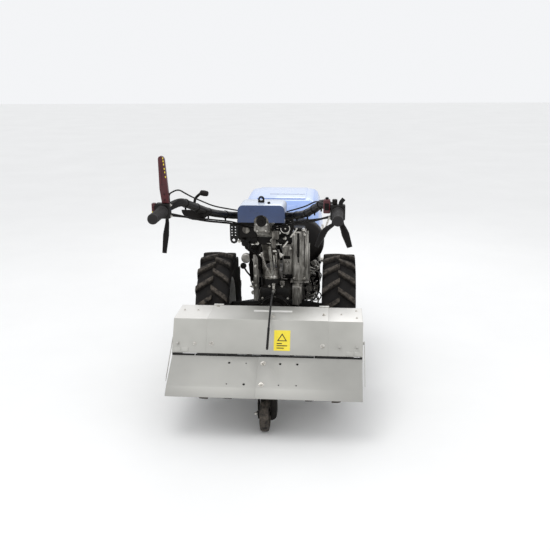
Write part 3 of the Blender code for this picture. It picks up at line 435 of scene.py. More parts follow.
# the bolt that holds most things: hexagon head over a washer, standing on z = 0
boltHead = joined([lathe([(0, 0.0095), (0.0014, 0.0095), (0.0018, 0.009)], "Z", (0, 0, 0), 20),
    lathe([(0.001, 0.0066), (0.0062, 0.0066), (0.007, 0.0056)], "Z", (0, 0, 0), 6),
    lathe([(0.004, 0.0034), (0.0098, 0.0034), (0.0106, 0.0028)], "Z", (0, 0, 0), 12)])
boltHead.name = "boltHead"


def boltsAt(places, toward, size=1.0):
    return [copied(boltHead, place, toward, size) for place in places]


# drive wheels
tyre = {"lugs": 18, "lean": 0.062, "root": 0.034, "crest": 0.021, "reach": 0.0805, "top": 0.2874,
    "crownDrop": 0.004, "foot": 0.259, "footDrop": 0.022, "shoulder": 0.72, "flare": 0.006,
    "overlap": 0.004}
wheelX = (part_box("rim_right")[0].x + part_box("rim_right")[1].x) / 2


def tyreLug():
    # a bar from the middle of the tread to its shoulder, leaning back as it goes out, sunk in the carcass
    nothingSelected()
    bpy.ops.mesh.primitive_cube_add(size=1)
    made = bpy.context.object
    editing(made, lambda: bpy.ops.mesh.subdivide(number_cuts=5))
    for vert in made.data.vertices:
        out, along, up = vert.co.x + 0.5, vert.co.y, vert.co.z + 0.5
        crown = tyre["top"] - tyre["crownDrop"] * out ** 2
        foot = tyre["foot"] - tyre["footDrop"] * max(0, out - tyre["shoulder"]) / (1 - tyre["shoulder"])
        height = foot + (crown - foot) * up
        wide = tyre["root"] + (tyre["crest"] - tyre["root"]) * up + tyre["flare"] * out
        turn = (along * wide - tyre["lean"] * out) / tyre["top"]
        lap = tyre["overlap"]
        across = -lap + (tyre["reach"] + lap) * out - lap * up * (out > 0.99)
        vert.co = (across, -math.cos(turn) * height, math.sin(turn) * height)
    editing(made, lambda: bpy.ops.mesh.normals_make_consistent(inside=False))
    return bevelled(made, 0.0018, 1, 50)


def dressTyre(word, side):
    centre = at(side * wheelX, 0, axle.z)
    half = [(0.054, 0.15), (0.054, 0.163), (0.06, 0.167), (0.067, 0.178), (0.0745, 0.196), (0.0795, 0.216),
        (0.0802, 0.236), (0.076, 0.252), (0.064, 0.2615), (0.03, 0.2648)]
    carcass = lathe(half + [(-w, r) for w, r in half[::-1]], "X", centre, 72, ring=True)
    ridge = [lathe([(w, 0.171), (w + 0.004, 0.1725), (w + 0.004, 0.1755), (w, 0.178)], "X", centre, 60,
        ring=True) for w in (0.0605, -0.0645)]
    lug = tyreLug()
    lugs = []
    for i in range(tyre["lugs"]):
        for hand, start in ((1, 0.0), (-1, 0.5)):
            made = bpy.data.objects.new("lug", lug.data.copy())
            bpy.context.scene.collection.objects.link(made)
            made.data.transform(Matrix.Translation(centre) @ Matrix.Rotation(-2 * math.pi * (i
                + start) / tyre["lugs"], 4, "X") @ Matrix.Diagonal((hand, 1, 1, 1)))
            if hand < 0:
                made.data.flip_normals()
            lugs.append(made)
    bpy.data.objects.remove(lug)
    finished("tyre_" + word + "_lugged", [carcass] + ridge + lugs, mouldedRubber, word + "_wheel",
        "tyre_" + word, 38)


def dressRim(word, side):
    centre = at(side * wheelX, 0, axle.z)
    barrel = [(0.06, 0.163), (0.0543, 0.163), (0.0543, 0.1497), (0.0347, 0.1497), (0.0297, 0.1347)]
    inner = [(0.06, 0.1447), (0.0297, 0.1447), (0.0247, 0.1297)]
    loop = barrel + [(-w, r) for w, r in barrel[::-1]] + [(-w, r) for w, r in inner] + inner[::-1]
    well = lathe(loop, "X", centre, 64, ring=True)
    face = [(0.006, 0.132), (0.011, 0.132), (0.011, 0.116), (0.019, 0.106), (0.019, 0.078), (0.012, 0.068),
        (0.012, 0.034), (0.017, 0.031), (0.03, 0.029), (0.032, 0.024)]
    dish = lathe([(side * w, r) for w, r in face], "X", centre, 64)
    slots = []
    for k in range(6):
        turn = math.radians(60 * k + 30)
        mid = centre + Vector((0, math.cos(turn), math.sin(turn))) * 0.093
        slots.append(roundBar(mid - Vector((0.04, 0, 0)), mid + Vector((0.04, 0, 0)), 0.0095, 18, 0))
    drilled(dish, slots)
    finished("rim_" + word + "_pressed", [well, dish], rimEnamel, word + "_wheel", "rim_" + word, 36)
    ring = [centre + Vector((side * 0.0121, 0.048 * c, 0.048 * s)) for c, s in circle(5, 18)]
    flange = [(-0.0617, 0.028), (-0.0065, 0.028), (-0.0065, 0.059), (0.0055, 0.059)]
    hub = lathe([(side * w, r) for w, r in flange], "X", centre, 40)
    finished("hub_" + word, hub, castIron, word + "_wheel", "axle_shaft_" + word)
    finished("wheel_nuts_" + word, boltsAt(ring, (side, 0, 0), 1.35), zincPlate, word + "_wheel")


for word, side in (("left", -1), ("right", 1)):
    dressTyre(word, side)
    dressRim(word, side)
print("wheels dressed")

# height of the shaft that runs back to the tiller
shaftZ = (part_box("tiller_coupling")[0].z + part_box("tiller_coupling")[1].z) / 2


def dressTransmission():
    for word, side in (("left", -1), ("right", 1)):
        tube = [(0.0753, 0.066), (0.0893, 0.066), (0.092, 0.056), (0.1, 0.05), (0.205, 0.039),
            (0.2377, 0.038), (0.2377, 0.03)]
        sleeve = lathe([(side * w, r) for w, r in tube], "X", at(0, 0, axle.z), 44)
        ribs = [plate([(0.092, 0.045), (0.092, 0.064), (0.19, 0.045), (0.19, 0.03)], "Y", -0.003, 0.003,
            0.001) for _ in range(4)]
        for k, rib in enumerate(ribs):
            rib.data.transform(Matrix.Translation(at(0, 0, axle.z))
                @ Matrix.Rotation(math.radians(90 * k + 45), 4, "X") @ Matrix.Diagonal((side, 1, 1, 1)))
            if side < 0:
                rib.data.flip_normals()
        finished("axle_housing_" + word + "_cast", [sleeve] + ribs, castIron, "chassis",
            "axle_housing_" + word)
        heads = [at(side * 0.0893, 0.059 * c, axle.z + 0.059 * s) for c, s in circle(6)]
        finished("axle_housing_bolts_" + word, boltsAt(heads, (side, 0, 0), 0.8), zincPlate, "chassis")
    bell = [(0.1103, 0.085), (0.125, 0.095), (0.15, 0.112), (0.172, 0.125), (0.172, 0.1342), (0.19, 0.1342)]
    finished("clutch_bell", lathe(bell, "Y", at(0, 0, shaftZ), 56), dieCast, "chassis", "clutch_housing")
    rim = [at(0.126 * c, 0.1725, shaftZ + 0.126 * s) for c, s in circle(8, 22)]
    finished("clutch_bolts", boltsAt(rim, (0, -1, 0), 0.8), zincPlate, "chassis")
    joint = [(-0.1903, 0.0712), (-0.204, 0.0712), (-0.208, 0.062), (-0.226, 0.062), (-0.23, 0.0712),
        (-0.24, 0.0712)]
    finished("coupling_flange", lathe(joint, "Y", at(0, 0, shaftZ), 48), castIron, "chassis",
        "tiller_coupling")
    rim = [at(0.066 * c, -0.2298, shaftZ + 0.066 * s) for c, s in circle(6, 30)]
    finished("coupling_bolts", boltsAt(rim, (0, 1, 0), 0.7), zincPlate, "chassis")
    # gearbox casting: a split line, ribs on its flanks and a bolted lid
    band = [block(at(-0.08, -0.196, 0.392), at(0.08, 0.106, 0.404), 0.002),
        block(at(-0.078, -0.194, 0.292), at(0.078, 0.104, 0.3), 0.002)]
    ribs = [block(at(-0.0785, y - 0.003, 0.205), at(0.0785, y + 0.003, 0.392), 0.0015)
        for y in (-0.15, -0.11, 0.072)]
    ribs += [block(at(x - 0.003, -0.1955, 0.3), at(x + 0.003, -0.15, 0.392), 0.0015)
        for x in (-0.058, 0.058)]
    finished("gearbox_cast", [cleanCopy("gearbox", 0.0015)] + band + ribs, castIron, "chassis", "gearbox")
    lid = [block(at(-0.052, -0.045, 0.4601), at(0.05, 0.085, 0.468), 0.002),
        lathe([(0.4601, 0.0115), (0.478, 0.0115), (0.48, 0.009)], "Z", at(0.03, -0.135, 0), 20)]
    finished("gearbox_lid", lid, streakedCast, "chassis")
    spots = [at(x, y, 0.468) for x in (-0.042, 0.04) for y in (-0.034, 0.02, 0.074)]
    spots += [at(x, -0.135 - 0.028, 0.4595) for x in (-0.03, 0.03)]
    finished("gearbox_bolts", boltsAt(spots, (0, 0, 1), 0.75)
        + boltsAt([at(x, -0.196, 0.412) for x in (-0.06, -0.02, 0.02, 0.06)], (0, -1, 0), 0.6), zincPlate,
        "chassis")
    side = cleanCopy("gearbox_side_cover", 0.002)
    fins = [block(at(0.113, -0.14 + 0.021 * k, 0.37), at(0.1225, -0.134 + 0.021 * k, 0.452), 0.0015)
        for k in range(10)]
    fins += [block(at(0.08 + 0.009 * k, -0.1565, 0.366), at(0.084 + 0.009 * k, -0.148, 0.455), 0.001)
        for k in range(4)]
    finished("side_cover_ribbed", [side] + fins, streakedCast, "chassis", "gearbox_side_cover")


dressTransmission()
print("transmission dressed")

# the tiller hood is a sheet folded along four (y, z) corners, and the flap hangs from its foot
tiller = {"sheet": 0.003, "lap": 0.0012, "halfWide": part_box("tiller_hood_wing_right")[1].x - 0.009,
    "seam": 0.25, "eye": 0.0054}
frontEdge, topFront, topRear, slopeFoot = (-0.345, 0.315), (-0.397, 0.44), (-0.577, 0.44), (-0.647, 0.312)
slopeDown = (Vector(slopeFoot) - Vector(topRear)).normalized()
slopeOut = Vector((slopeDown.y, -slopeDown.x))
flapTop = Vector(slopeFoot) + slopeDown * 0.0067
flapDown = Vector((-math.cos(math.radians(31)), -math.sin(math.radians(31))))
flapOut = Vector((flapDown.y, -flapDown.x))


def onSlope(x, down, out=0.0):
    y, z = Vector(topRear) + slopeDown * down + slopeOut * out
    return at(x, y, z)


def onFlap(x, down, out=0.0):
    y, z = flapTop + flapDown * down + flapOut * out
    return at(x, y, z)


def facing(out):
    return Vector((0, out.x, out.y))


def sheetLine(line, out, thick):
    # an open line of (y, z) moved out, and back along its inner face; corners are mitred
    def moved(distance):
        spots = []
        for i, spot in enumerate(line):
            here = Vector(spot)
            one = (here - Vector(line[i - 1])).normalized() if i else None
            two = (Vector(line[i + 1]) - here).normalized() if i + 1 < len(line) else None
            one, two = one or two, two or one
            normal = Vector((one.y + two.y, -one.x - two.x)).normalized()
            spots.append(here + normal * distance / normal.dot(Vector((two.y, -two.x))))
        return spots
    edge = moved(out) + moved(out - thick)[::-1]
    return [(p.x + axleY, p.y) for p in edge]


def drillAlong(places, out, radius):
    step = facing(out) * 0.02
    return [roundBar(p - step, p + step, radius, 16, 0) for p in places]


def plugs(places, out, radius):
    # rubber plugs set a little below the sheet
    n = facing(out)
    return [roundBar(p - n * 0.0028, p - n * 0.0008, radius + 0.0004, 16, 0) for p in places]


def dressTillerHood():
    line = [frontEdge, topFront, topRear, slopeFoot]
    seam = tiller["seam"]
    centre = plate(sheetLine(line, tiller["lap"], tiller["sheet"]), "X", -seam - 0.006, seam + 0.006)
    bevelled(centre, 0.0022, 3, 20)
    neck = [roundBar(at(0, -0.3, shaftZ), at(0, -0.43, shaftZ), 0.056, 32, 0),
        block(at(-0.056, -0.43, 0.28), at(0.056, -0.3, shaftZ), 0)]
    drilled(centre, neck)
    drilled(centre, drillAlong([onSlope(x, 0.105) for x in (-0.233, 0.233)], slopeOut, 0.002))
    finished("tiller_hood_middle", centre, sheetPaint, "chassis", "tiller_hood_centre", 28)
    for word, side in (("left", -1), ("right", 1)):
        low, high = sorted((side * (seam - 0.004), side * tiller["halfWide"]))
        roof = bevelled(plate(sheetLine(line, 0, tiller["sheet"]), "X", low, high), 0.0022, 3, 20)
        holes = [onSlope(side * 0.376, 0.106)] + ([onSlope(0.304, 0.107)] if side > 0 else [])
        drilled(roof, drillAlong(holes, slopeOut, tiller["eye"]))
        cheekLine = fromAxle([frontEdge, (-0.3985, 0.4375), (-0.5755, 0.4375), slopeFoot, (-0.617, 0.23),
            (-0.365, 0.23)])
        low, high = sorted((side * (tiller["halfWide"] - 0.003), side * tiller["halfWide"]))
        cheek = plate(cheekLine, "X", low, high, 0.0008)
        drilled(cheek, [roundBar((side * 0.45, *spot[1:]), (side * 0.35, *spot[1:]), 0.006, 18, 0)
            for spot in (at(0, -0.42, 0.26), at(0, -0.57, 0.26))])
        near = side * (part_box("tiller_hood_wing_right")[1].x - 0.0015)
        low, high = sorted((near - side * 0.0012, near + side * 0.0012))
        strip = [(-0.592, 0.343), (-0.747, 0.224), (-0.737, 0.24), (-0.584, 0.358)]
        bar = plate(fromAxle(strip), "X", low, high, 0.0006)
        pin = roundBar((side * 0.395, *at(0, -0.587, 0.35)[1:]), (near, *at(0, -0.587, 0.35)[1:]), 0.006)
        finished("tiller_hood_end_" + word, [roof, cheek, bar, pin], sheetPaint, "chassis",
            "tiller_hood_wing_" + word, 28)


def flapPlate(low, high, out):
    lip = math.radians(41)
    bend = flapTop + flapDown * 0.16
    end = bend + Vector((-math.cos(lip), -math.sin(lip))) * 0.045
    start = flapTop + flapDown * 0.004
    made = plate(sheetLine([tuple(start), tuple(bend), tuple(end)], out, tiller["sheet"]), "X", low, high)
    return bevelled(made, 0.0018, 3, 8)


def dressFlap():
    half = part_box("rear_flap")[1].x
    pitch, middle = 0.0707, -0.01
    left = flapPlate(-half, -0.026, 0)
    right = flapPlate(-0.032, half, tiller["lap"])
    upper, lower = 0.038, 0.1425
    leftEyes = [onFlap(middle - 2 * pitch, upper), onFlap(middle - pitch, lower)]
    rightEyes = [onFlap(middle + pitch, upper), onFlap(middle + 2 * pitch, upper)]
    small = [onFlap(middle - 2 * pitch, lower), onFlap(middle - pitch, upper)]
    smallRight = [onFlap(middle + pitch, lower), onFlap(middle + 2 * pitch, lower)]
    drilled(left, drillAlong(leftEyes, flapOut, tiller["eye"]) + drillAlong(small, flapOut, 0.003))
    drilled(right, drillAlong(rightEyes, flapOut, tiller["eye"]) + drillAlong(smallRight, flapOut, 0.003))
    bead = roundBar((-half, *at(0, *flapTop)[1:]), (half, *at(0, *flapTop)[1:]), 0.0044, 20)
    drilled(bead, [block(at(x - 0.0015, flapTop.x - 0.01, flapTop.y - 0.01),
        at(x + 0.0015, flapTop.x + 0.01, flapTop.y + 0.01), 0) for x in (-0.3, -0.2, 0.0, 0.2, 0.3)])
    # the flap plates take the darker copy of the sheet paint: painted shade
    finished("flap_plates", [left, right], flapShadedPaint, "flap", "rear_flap", 24)
    # the hinge bead is black: painted shade for the shadow gap between the hood's foot and the flap
    finished("flap_hinge_rod_dark_for_gap_shade", bead, powderCoat, "flap")
    finished("flap_hole_plugs", plugs(leftEyes + rightEyes, flapOut, tiller["eye"])
        + plugs(small + smallRight, flapOut, 0.003), blackAbs, "flap")
    spots = [onFlap(middle, d, tiller["lap"]) for d in (upper, lower)]
    finished("flap_bolts", boltsAt(spots, facing(flapOut), 1.1), zincPlate, "flap")


def dressHoodFittings():
    out = facing(slopeOut)
    finished("hood_hole_plugs", plugs([onSlope(side * 0.376, 0.106) for side in (-1, 1)]
        + [onSlope(0.304, 0.107)], slopeOut, tiller["eye"]), blackAbs, "chassis")
    heads = boltsAt([onSlope(x, 0.105, tiller["lap"]) for x in (-0.233, 0.233)], out, 1.05)
    heads += boltsAt([onSlope(-0.305, 0.106)], out, 0.8)
    heads += boltsAt([at(x, y, 0.44) for x, y in ((-0.375, -0.47), (-0.315, -0.47), (0.375, -0.44),
        (0.375, -0.53), (0.31, -0.49))], (0, 0, 1), 0.55)
    heads += boltsAt([at(x, y, 0.4412) for x, y in ((-0.235, -0.415), (0.236, -0.505), (0.02, -0.535))],
        (0, 0, 1), 0.8)
    finished("tiller_hood_bolts", heads, zincPlate, "chassis")
    leaves = []
    tilt = Vector((0, 0, 1)).rotation_difference(out).to_matrix().to_4x4()
    hang = Matrix.Translation(Vector((0, *onSlope(0, 0.133)[1:]))) @ tilt
    for side in (-1, 1):
        for k in range(2):
            x = side * (0.345 + 0.034 * k)
            leaf = block((x - 0.014, -0.009, 0.0), (x + 0.014, 0.009, 0.0022), 0.0008)
            leaf.data.transform(hang)
            leaves.append(leaf)
    lugs = [block(at(x - 0.022, -0.402, 0.4402), at(x + 0.022, -0.386, 0.4445), 0.001)
        for x in (-0.235, 0.235)]
    finished("hinge_leaves", leaves + lugs, sheetPaint, "chassis")
    warning = block((-0.034, -0.043, 0), (0.034, 0.043, 0.0004), 0.0001, 1)
    laid = Matrix.Translation(onSlope(0.064, 0.085, tiller["lap"]
        + 0.0003)) @ Matrix.Rotation(math.acos(slopeOut.y), 4, "X")
    warning.data.transform(laid)
    finished("plain_yellow_label", warning, labelVinyl, "chassis")
    ink = [plate([(0, 0.03), (-0.021, -0.003), (0.021, -0.003)], "Z", 0.0003, 0.0006)]
    drilled(ink[0], [plate([(0, 0.023), (-0.0145, 0.0005), (0.0145, 0.0005)], "Z", -0.001, 0.002)])
    ink += [block((x, -0.034 + y, 0.0003), (x + w, -0.03 + y, 0.0006), 0)
        for x, y, w in ((-0.022, 0.0, 0.03), (-0.022, 0.01, 0.044), (-0.022, 0.019, 0.022))]
    for mark in ink:
        mark.data.transform(laid)
    finished("plain_label_marks", ink, inkBlack, "chassis")
    finished("plain_pale_label", block(at(-0.07, -0.478, 0.4415), at(0.098, -0.455, 0.4419), 0.0001, 1),
        paleVinyl, "chassis")


dressTillerHood()
dressFlap()
dressHoodFittings()
print("tiller hood and flap dressed")


def dressTillerWorks():
    finished("tiller_gearcase_cast", [cleanCopy("tiller_gearcase", 0.002)], castIron, "chassis",
        "tiller_gearcase")
    nuts = [at(side * 0.034, -0.495 + 0.075 * c, 0.188 + 0.075 * s) for side in (-1, 1)
        for c, s in circle(6)]
    finished("gearcase_bolts_left", boltsAt(nuts[:6], (-1, 0, 0), 0.7), zincPlate, "chassis")
    finished("gearcase_bolts_right", boltsAt(nuts[6:], (1, 0, 0), 0.7), zincPlate, "chassis")
    for word in ("left", "right"):
        finished("tines_" + word, cleanCopy("tine_rotor_" + word, 0.0012, 1), forgedSteel, "rotor",
            "tine_rotor_" + word)
    route = [at(0.0, -0.215, 0.411), at(0.0, -0.215, 0.452), at(0.002, -0.29, 0.485), at(0.006, -0.42, 0.5),
        at(0.011, -0.6, 0.47), at(0.015, -0.765, 0.385)]
    rod = pipe(route, 0.0042, 0.1, 14)
    bead = lathe([(0.0, 0.0052), (0.005, 0.0056), (0.009, 0.0052)], "Z", (0, 0, 0), 14)
    bend, end = route[-2:]
    beads = [copied(bead, bend.lerp(end, 0.38 + 0.05 * k), end - bend, 0.95) for k in range(12)]
    bpy.data.objects.remove(bead)
    finished("hitch_rod", [rod] + beads, powderCoat, "chassis", "hitch_lever")
    finished("hitch_rod_sleeve", pipe([at(0.0, -0.2165, 0.452), at(0.0015, -0.262, 0.4755),
        at(0.004, -0.345, 0.491)], 0.006, 0.02, 14), zincPlate, "chassis")
    hub = at(0, -0.715, 0.075)
    half = [(0.019, 0.0086), (0.019, 0.026), (0.013, 0.029), (0.013, 0.048), (0.018, 0.052), (0.019, 0.06),
        (0.0165, 0.07), (0.009, 0.0745), (0.0, 0.075)]
    finished("tail_wheel_tyre", lathe(half + [(-w, r) for w, r in half[-2::-1]], "X", hub, 56, ring=True),
        mouldedRubber, "tail_wheel", "depth_wheel")
    finished("tail_wheel_fork", cleanCopy("depth_wheel_fork", 0.0015), castIron, "chassis",
        "depth_wheel_fork")
    nuts = boltsAt([at(-0.033, -0.715, 0.075)], (-1, 0, 0), 1.2)
    finished("tail_wheel_nut", nuts, zincPlate, "chassis")


dressTillerWorks()
print("tiller works dressed")

# the column and everything above it stands left of the middle
columnX = (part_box("mast")[0].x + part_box("mast")[1].x) / 2


def col(x, y, z):
    return at(columnX + x, y, z)


def fromColumn(line):
    return [(x + columnX, z) for x, z in line]


def dressColumn():
    head = lathe([(0.4903, 0.044), (0.5, 0.044), (0.503, 0.04), (0.536, 0.04), (0.54, 0.044),
        (0.5453, 0.044)], "Z", col(0, -0.1, 0), 40)
    ears = []
    for side in (-1, 1):
        low, high = sorted((side * 0.028, side * 0.04))
        outline = [(-0.128, 0.535), (-0.072, 0.535)] + [(-0.1 + 0.028 * c, 0.597 + 0.028 * s)
            for c, s in circle(24)[:13]]
        ears.append(plate(fromAxle(outline), "X", columnX + low, columnX + high, 0.0015))
    finished("swivel_head_cast", [head] + ears, greyCasting, "swivel", "swivel_head")
    finished("swivel_bolt", boltsAt([col(-0.04, -0.1, 0.597)], (-1, 0, 0), 1.7)
        + boltsAt([col(0.04, -0.1, 0.597)], (1, 0, 0), 1.7), zincPlate, "swivel")
    finished("mast_column", cleanCopy("mast", 0.004, 3), greyCasting, "handlebars", "mast")
    # ribs and bosses cast on the column
    ribs = []
    for side in (-1, 1):
        low, high = sorted((side * 0.027, side * 0.032))
        line = [(-0.15, 0.617), (-0.46, 0.832), (-0.46, 0.842), (-0.15, 0.627)]
        ribs.append(plate(fromAxle(line), "X", columnX + low, columnX + high, 0.001))
        ribs.append(roundBar(col(side * 0.026, -0.3, 0.736), col(side * 0.034, -0.3, 0.736), 0.014, 24))
    collar = block((-0.036, -0.018, -0.033), (0.036, 0.018, 0.033), 0.004)
    collar.data.transform(Matrix.Translation(col(0, -0.375, 0.788))
        @ Matrix.Rotation(math.radians(-34.8), 4, "X"))
    saddle = block((-0.03, -0.04, -0.028), (0.03, 0.03, 0.028), 0.006)
    saddle.data.transform(Matrix.Translation(col(-0.004, -0.475, 0.822))
        @ Matrix.Rotation(math.radians(-20), 4, "X"))
    finished("column_ribs", ribs + [collar, saddle], streakedCast, "handlebars")
    studs = boltsAt([col(x, -0.515, z) for x in (-0.02, 0.016) for z in (0.838, 0.812)], (0, -1, 0), 0.7)
    studs += boltsAt([col(0.034, -0.3, 0.736)], (1, 0, 0), 0.9)
    finished("column_studs", studs, zincPlate, "handlebars")
    pivot = lathe([(-0.5385, 0.021), (-0.5425, 0.021), (-0.5445, 0.017), (-0.5445, 0.008),
        (-0.5485, 0.006)], "Y", at(columnX, 0, 0.853), 32)
    neck = roundBar(col(0, -0.535, 0.851), col(0, -0.5, 0.851), 0.017, 28)
    finished("column_pivot", [pivot, neck], blackAbs, "handlebars")


def dressCover():
    cover = cleanCopy("column_cover", 0.0025, 3, 28)
    finished("column_cover_moulded", cover, columnBlue, "handlebars", "column_cover", 30)
    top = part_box("column_cover")[1].z
    loop = lathe([(-0.006, 0.013), (0.006, 0.013), (0.006, 0.0065), (-0.006, 0.0065)], "Y",
        col(-0.006, -0.475, top + 0.013), 30, ring=True)
    foot = block(col(-0.019, -0.483, top + 0.0003), col(0.007, -0.467, top + 0.008), 0.002)
    knob = lathe([(top + 0.0003, 0.006), (top + 0.005, 0.006), (top + 0.007, 0.004)], "Z",
        col(0.028, -0.5, 0), 20)
    finished("cover_eye_handle", [loop, foot, knob], blackAbs, "handlebars")


grip = {"x": 0.308, "height": 0.971, "clampY": -0.926}


def barRoute(side):
    bend = [(0.0623, -0.49, 0.868), (0.125, -0.49, 0.868), (0.186, -0.655, 0.91), (0.26, -0.86, 0.992),
        (grip["x"], -0.885, grip["height"]), (grip["x"], -0.9447, grip["height"])]
    return [col(side * x, y, z) for x, y, z in bend]


def dressBars():
    for word, side in (("left", -1), ("right", 1)):
        route = barRoute(side)
        tube = pipe(route, 0.015, 0.06, 24)
        finished("bar_" + word, tube, powderCoat, "handlebars", "handlebar_" + word)
        start = col(side * grip["x"], -0.945, grip["height"])
        skin = [(0.0, 0.0155), (0.0, 0.0215), (-0.008, 0.0215), (-0.011, 0.0182)]
        for k in range(11):
            y = -0.014 - 0.0105 * k
            skin += [(y, 0.0182), (y - 0.002, 0.0172), (y - 0.005, 0.0172), (y - 0.007, 0.0184)]
        skin += [(-0.132, 0.0185), (-0.137, 0.0175), (-0.1395, 0.013), (-0.14, 0.004)]
        finished("grip_" + word + "_ribbed", lathe(skin, "Y", start, 40), gripRubber, "handlebars",
            "grip_" + word, 40)
        lift = 0.021
        inner = 0.295
        points = [(inner, -0.9077, grip["height"] - lift), (inner, -0.878, grip["height"] - lift),
            (0.205, -0.7, 0.888), (0.127, -0.525, 0.842), (0.075, -0.485, 0.818), (0.0316, -0.43, 0.806),
            (0.0316, -0.18, 0.655)]
        cord = pipe([col(side * x, y, z) for x, y, z in points], 0.0038, 0.05, 12)
        second = pipe([col(side * (x + dx), y, z + dz) for (x, y, z), dx, dz in zip(points[1:-1],
            (0, -0.006, -0.004, 0.002), (-0.007, 0.007, 0.007, 0.008))], 0.003, 0.05, 10)
        finished("cable_pair_" + word, [cord, second], blackAbs, "handlebars", "control_cable_" + word)
        ties = []
        for i, t in ((1, 0.35), (2, 0.1), (2, 0.5), (2, 0.85)):
            here = Vector(route[i]).lerp(Vector(route[i + 1]), t)
            along = Vector(route[i + 1]) - Vector(route[i])
            tie = lathe([(-0.003, 0.0152), (-0.003, 0.0166), (0.003, 0.0166), (0.003, 0.0152)], "Z",
                (0, 0, 0), 28, ring=True)
            ties.append(copied(tie, here, along))
            bpy.data.objects.remove(tie)
            ties.append(block(here + Vector((-0.003, -0.003, -0.026)),
                here + Vector((0.003, 0.003, -0.0155)), 0.001))
        finished("cable_ties_" + word, ties, blackAbs, "handlebars")


def leverBlade(points, wide, thick, grow=1.35):
    # a flat lever that widens to a rounded end
    route = softCorners(points, 0.03, 4)
    made = pipe(points, wide, 0.03, 16)
    first = route[0]
    tops = max((p - first).length for p in route)
    for vert in made.data.vertices:
        near = min(route, key=lambda p: (p - vert.co).length)
        share = (near - first).length / tops
        size = 0.62 + (grow - 0.62) * min(1, share * 1.6)
        if share > 0.97:
            size *= 0.62
        offset = vert.co - near
        vert.co = near + Vector((offset.x * size, offset.y * size * thick,
            offset.z * size * (0.9 if abs(offset.z) < wide else 1)))
    return made


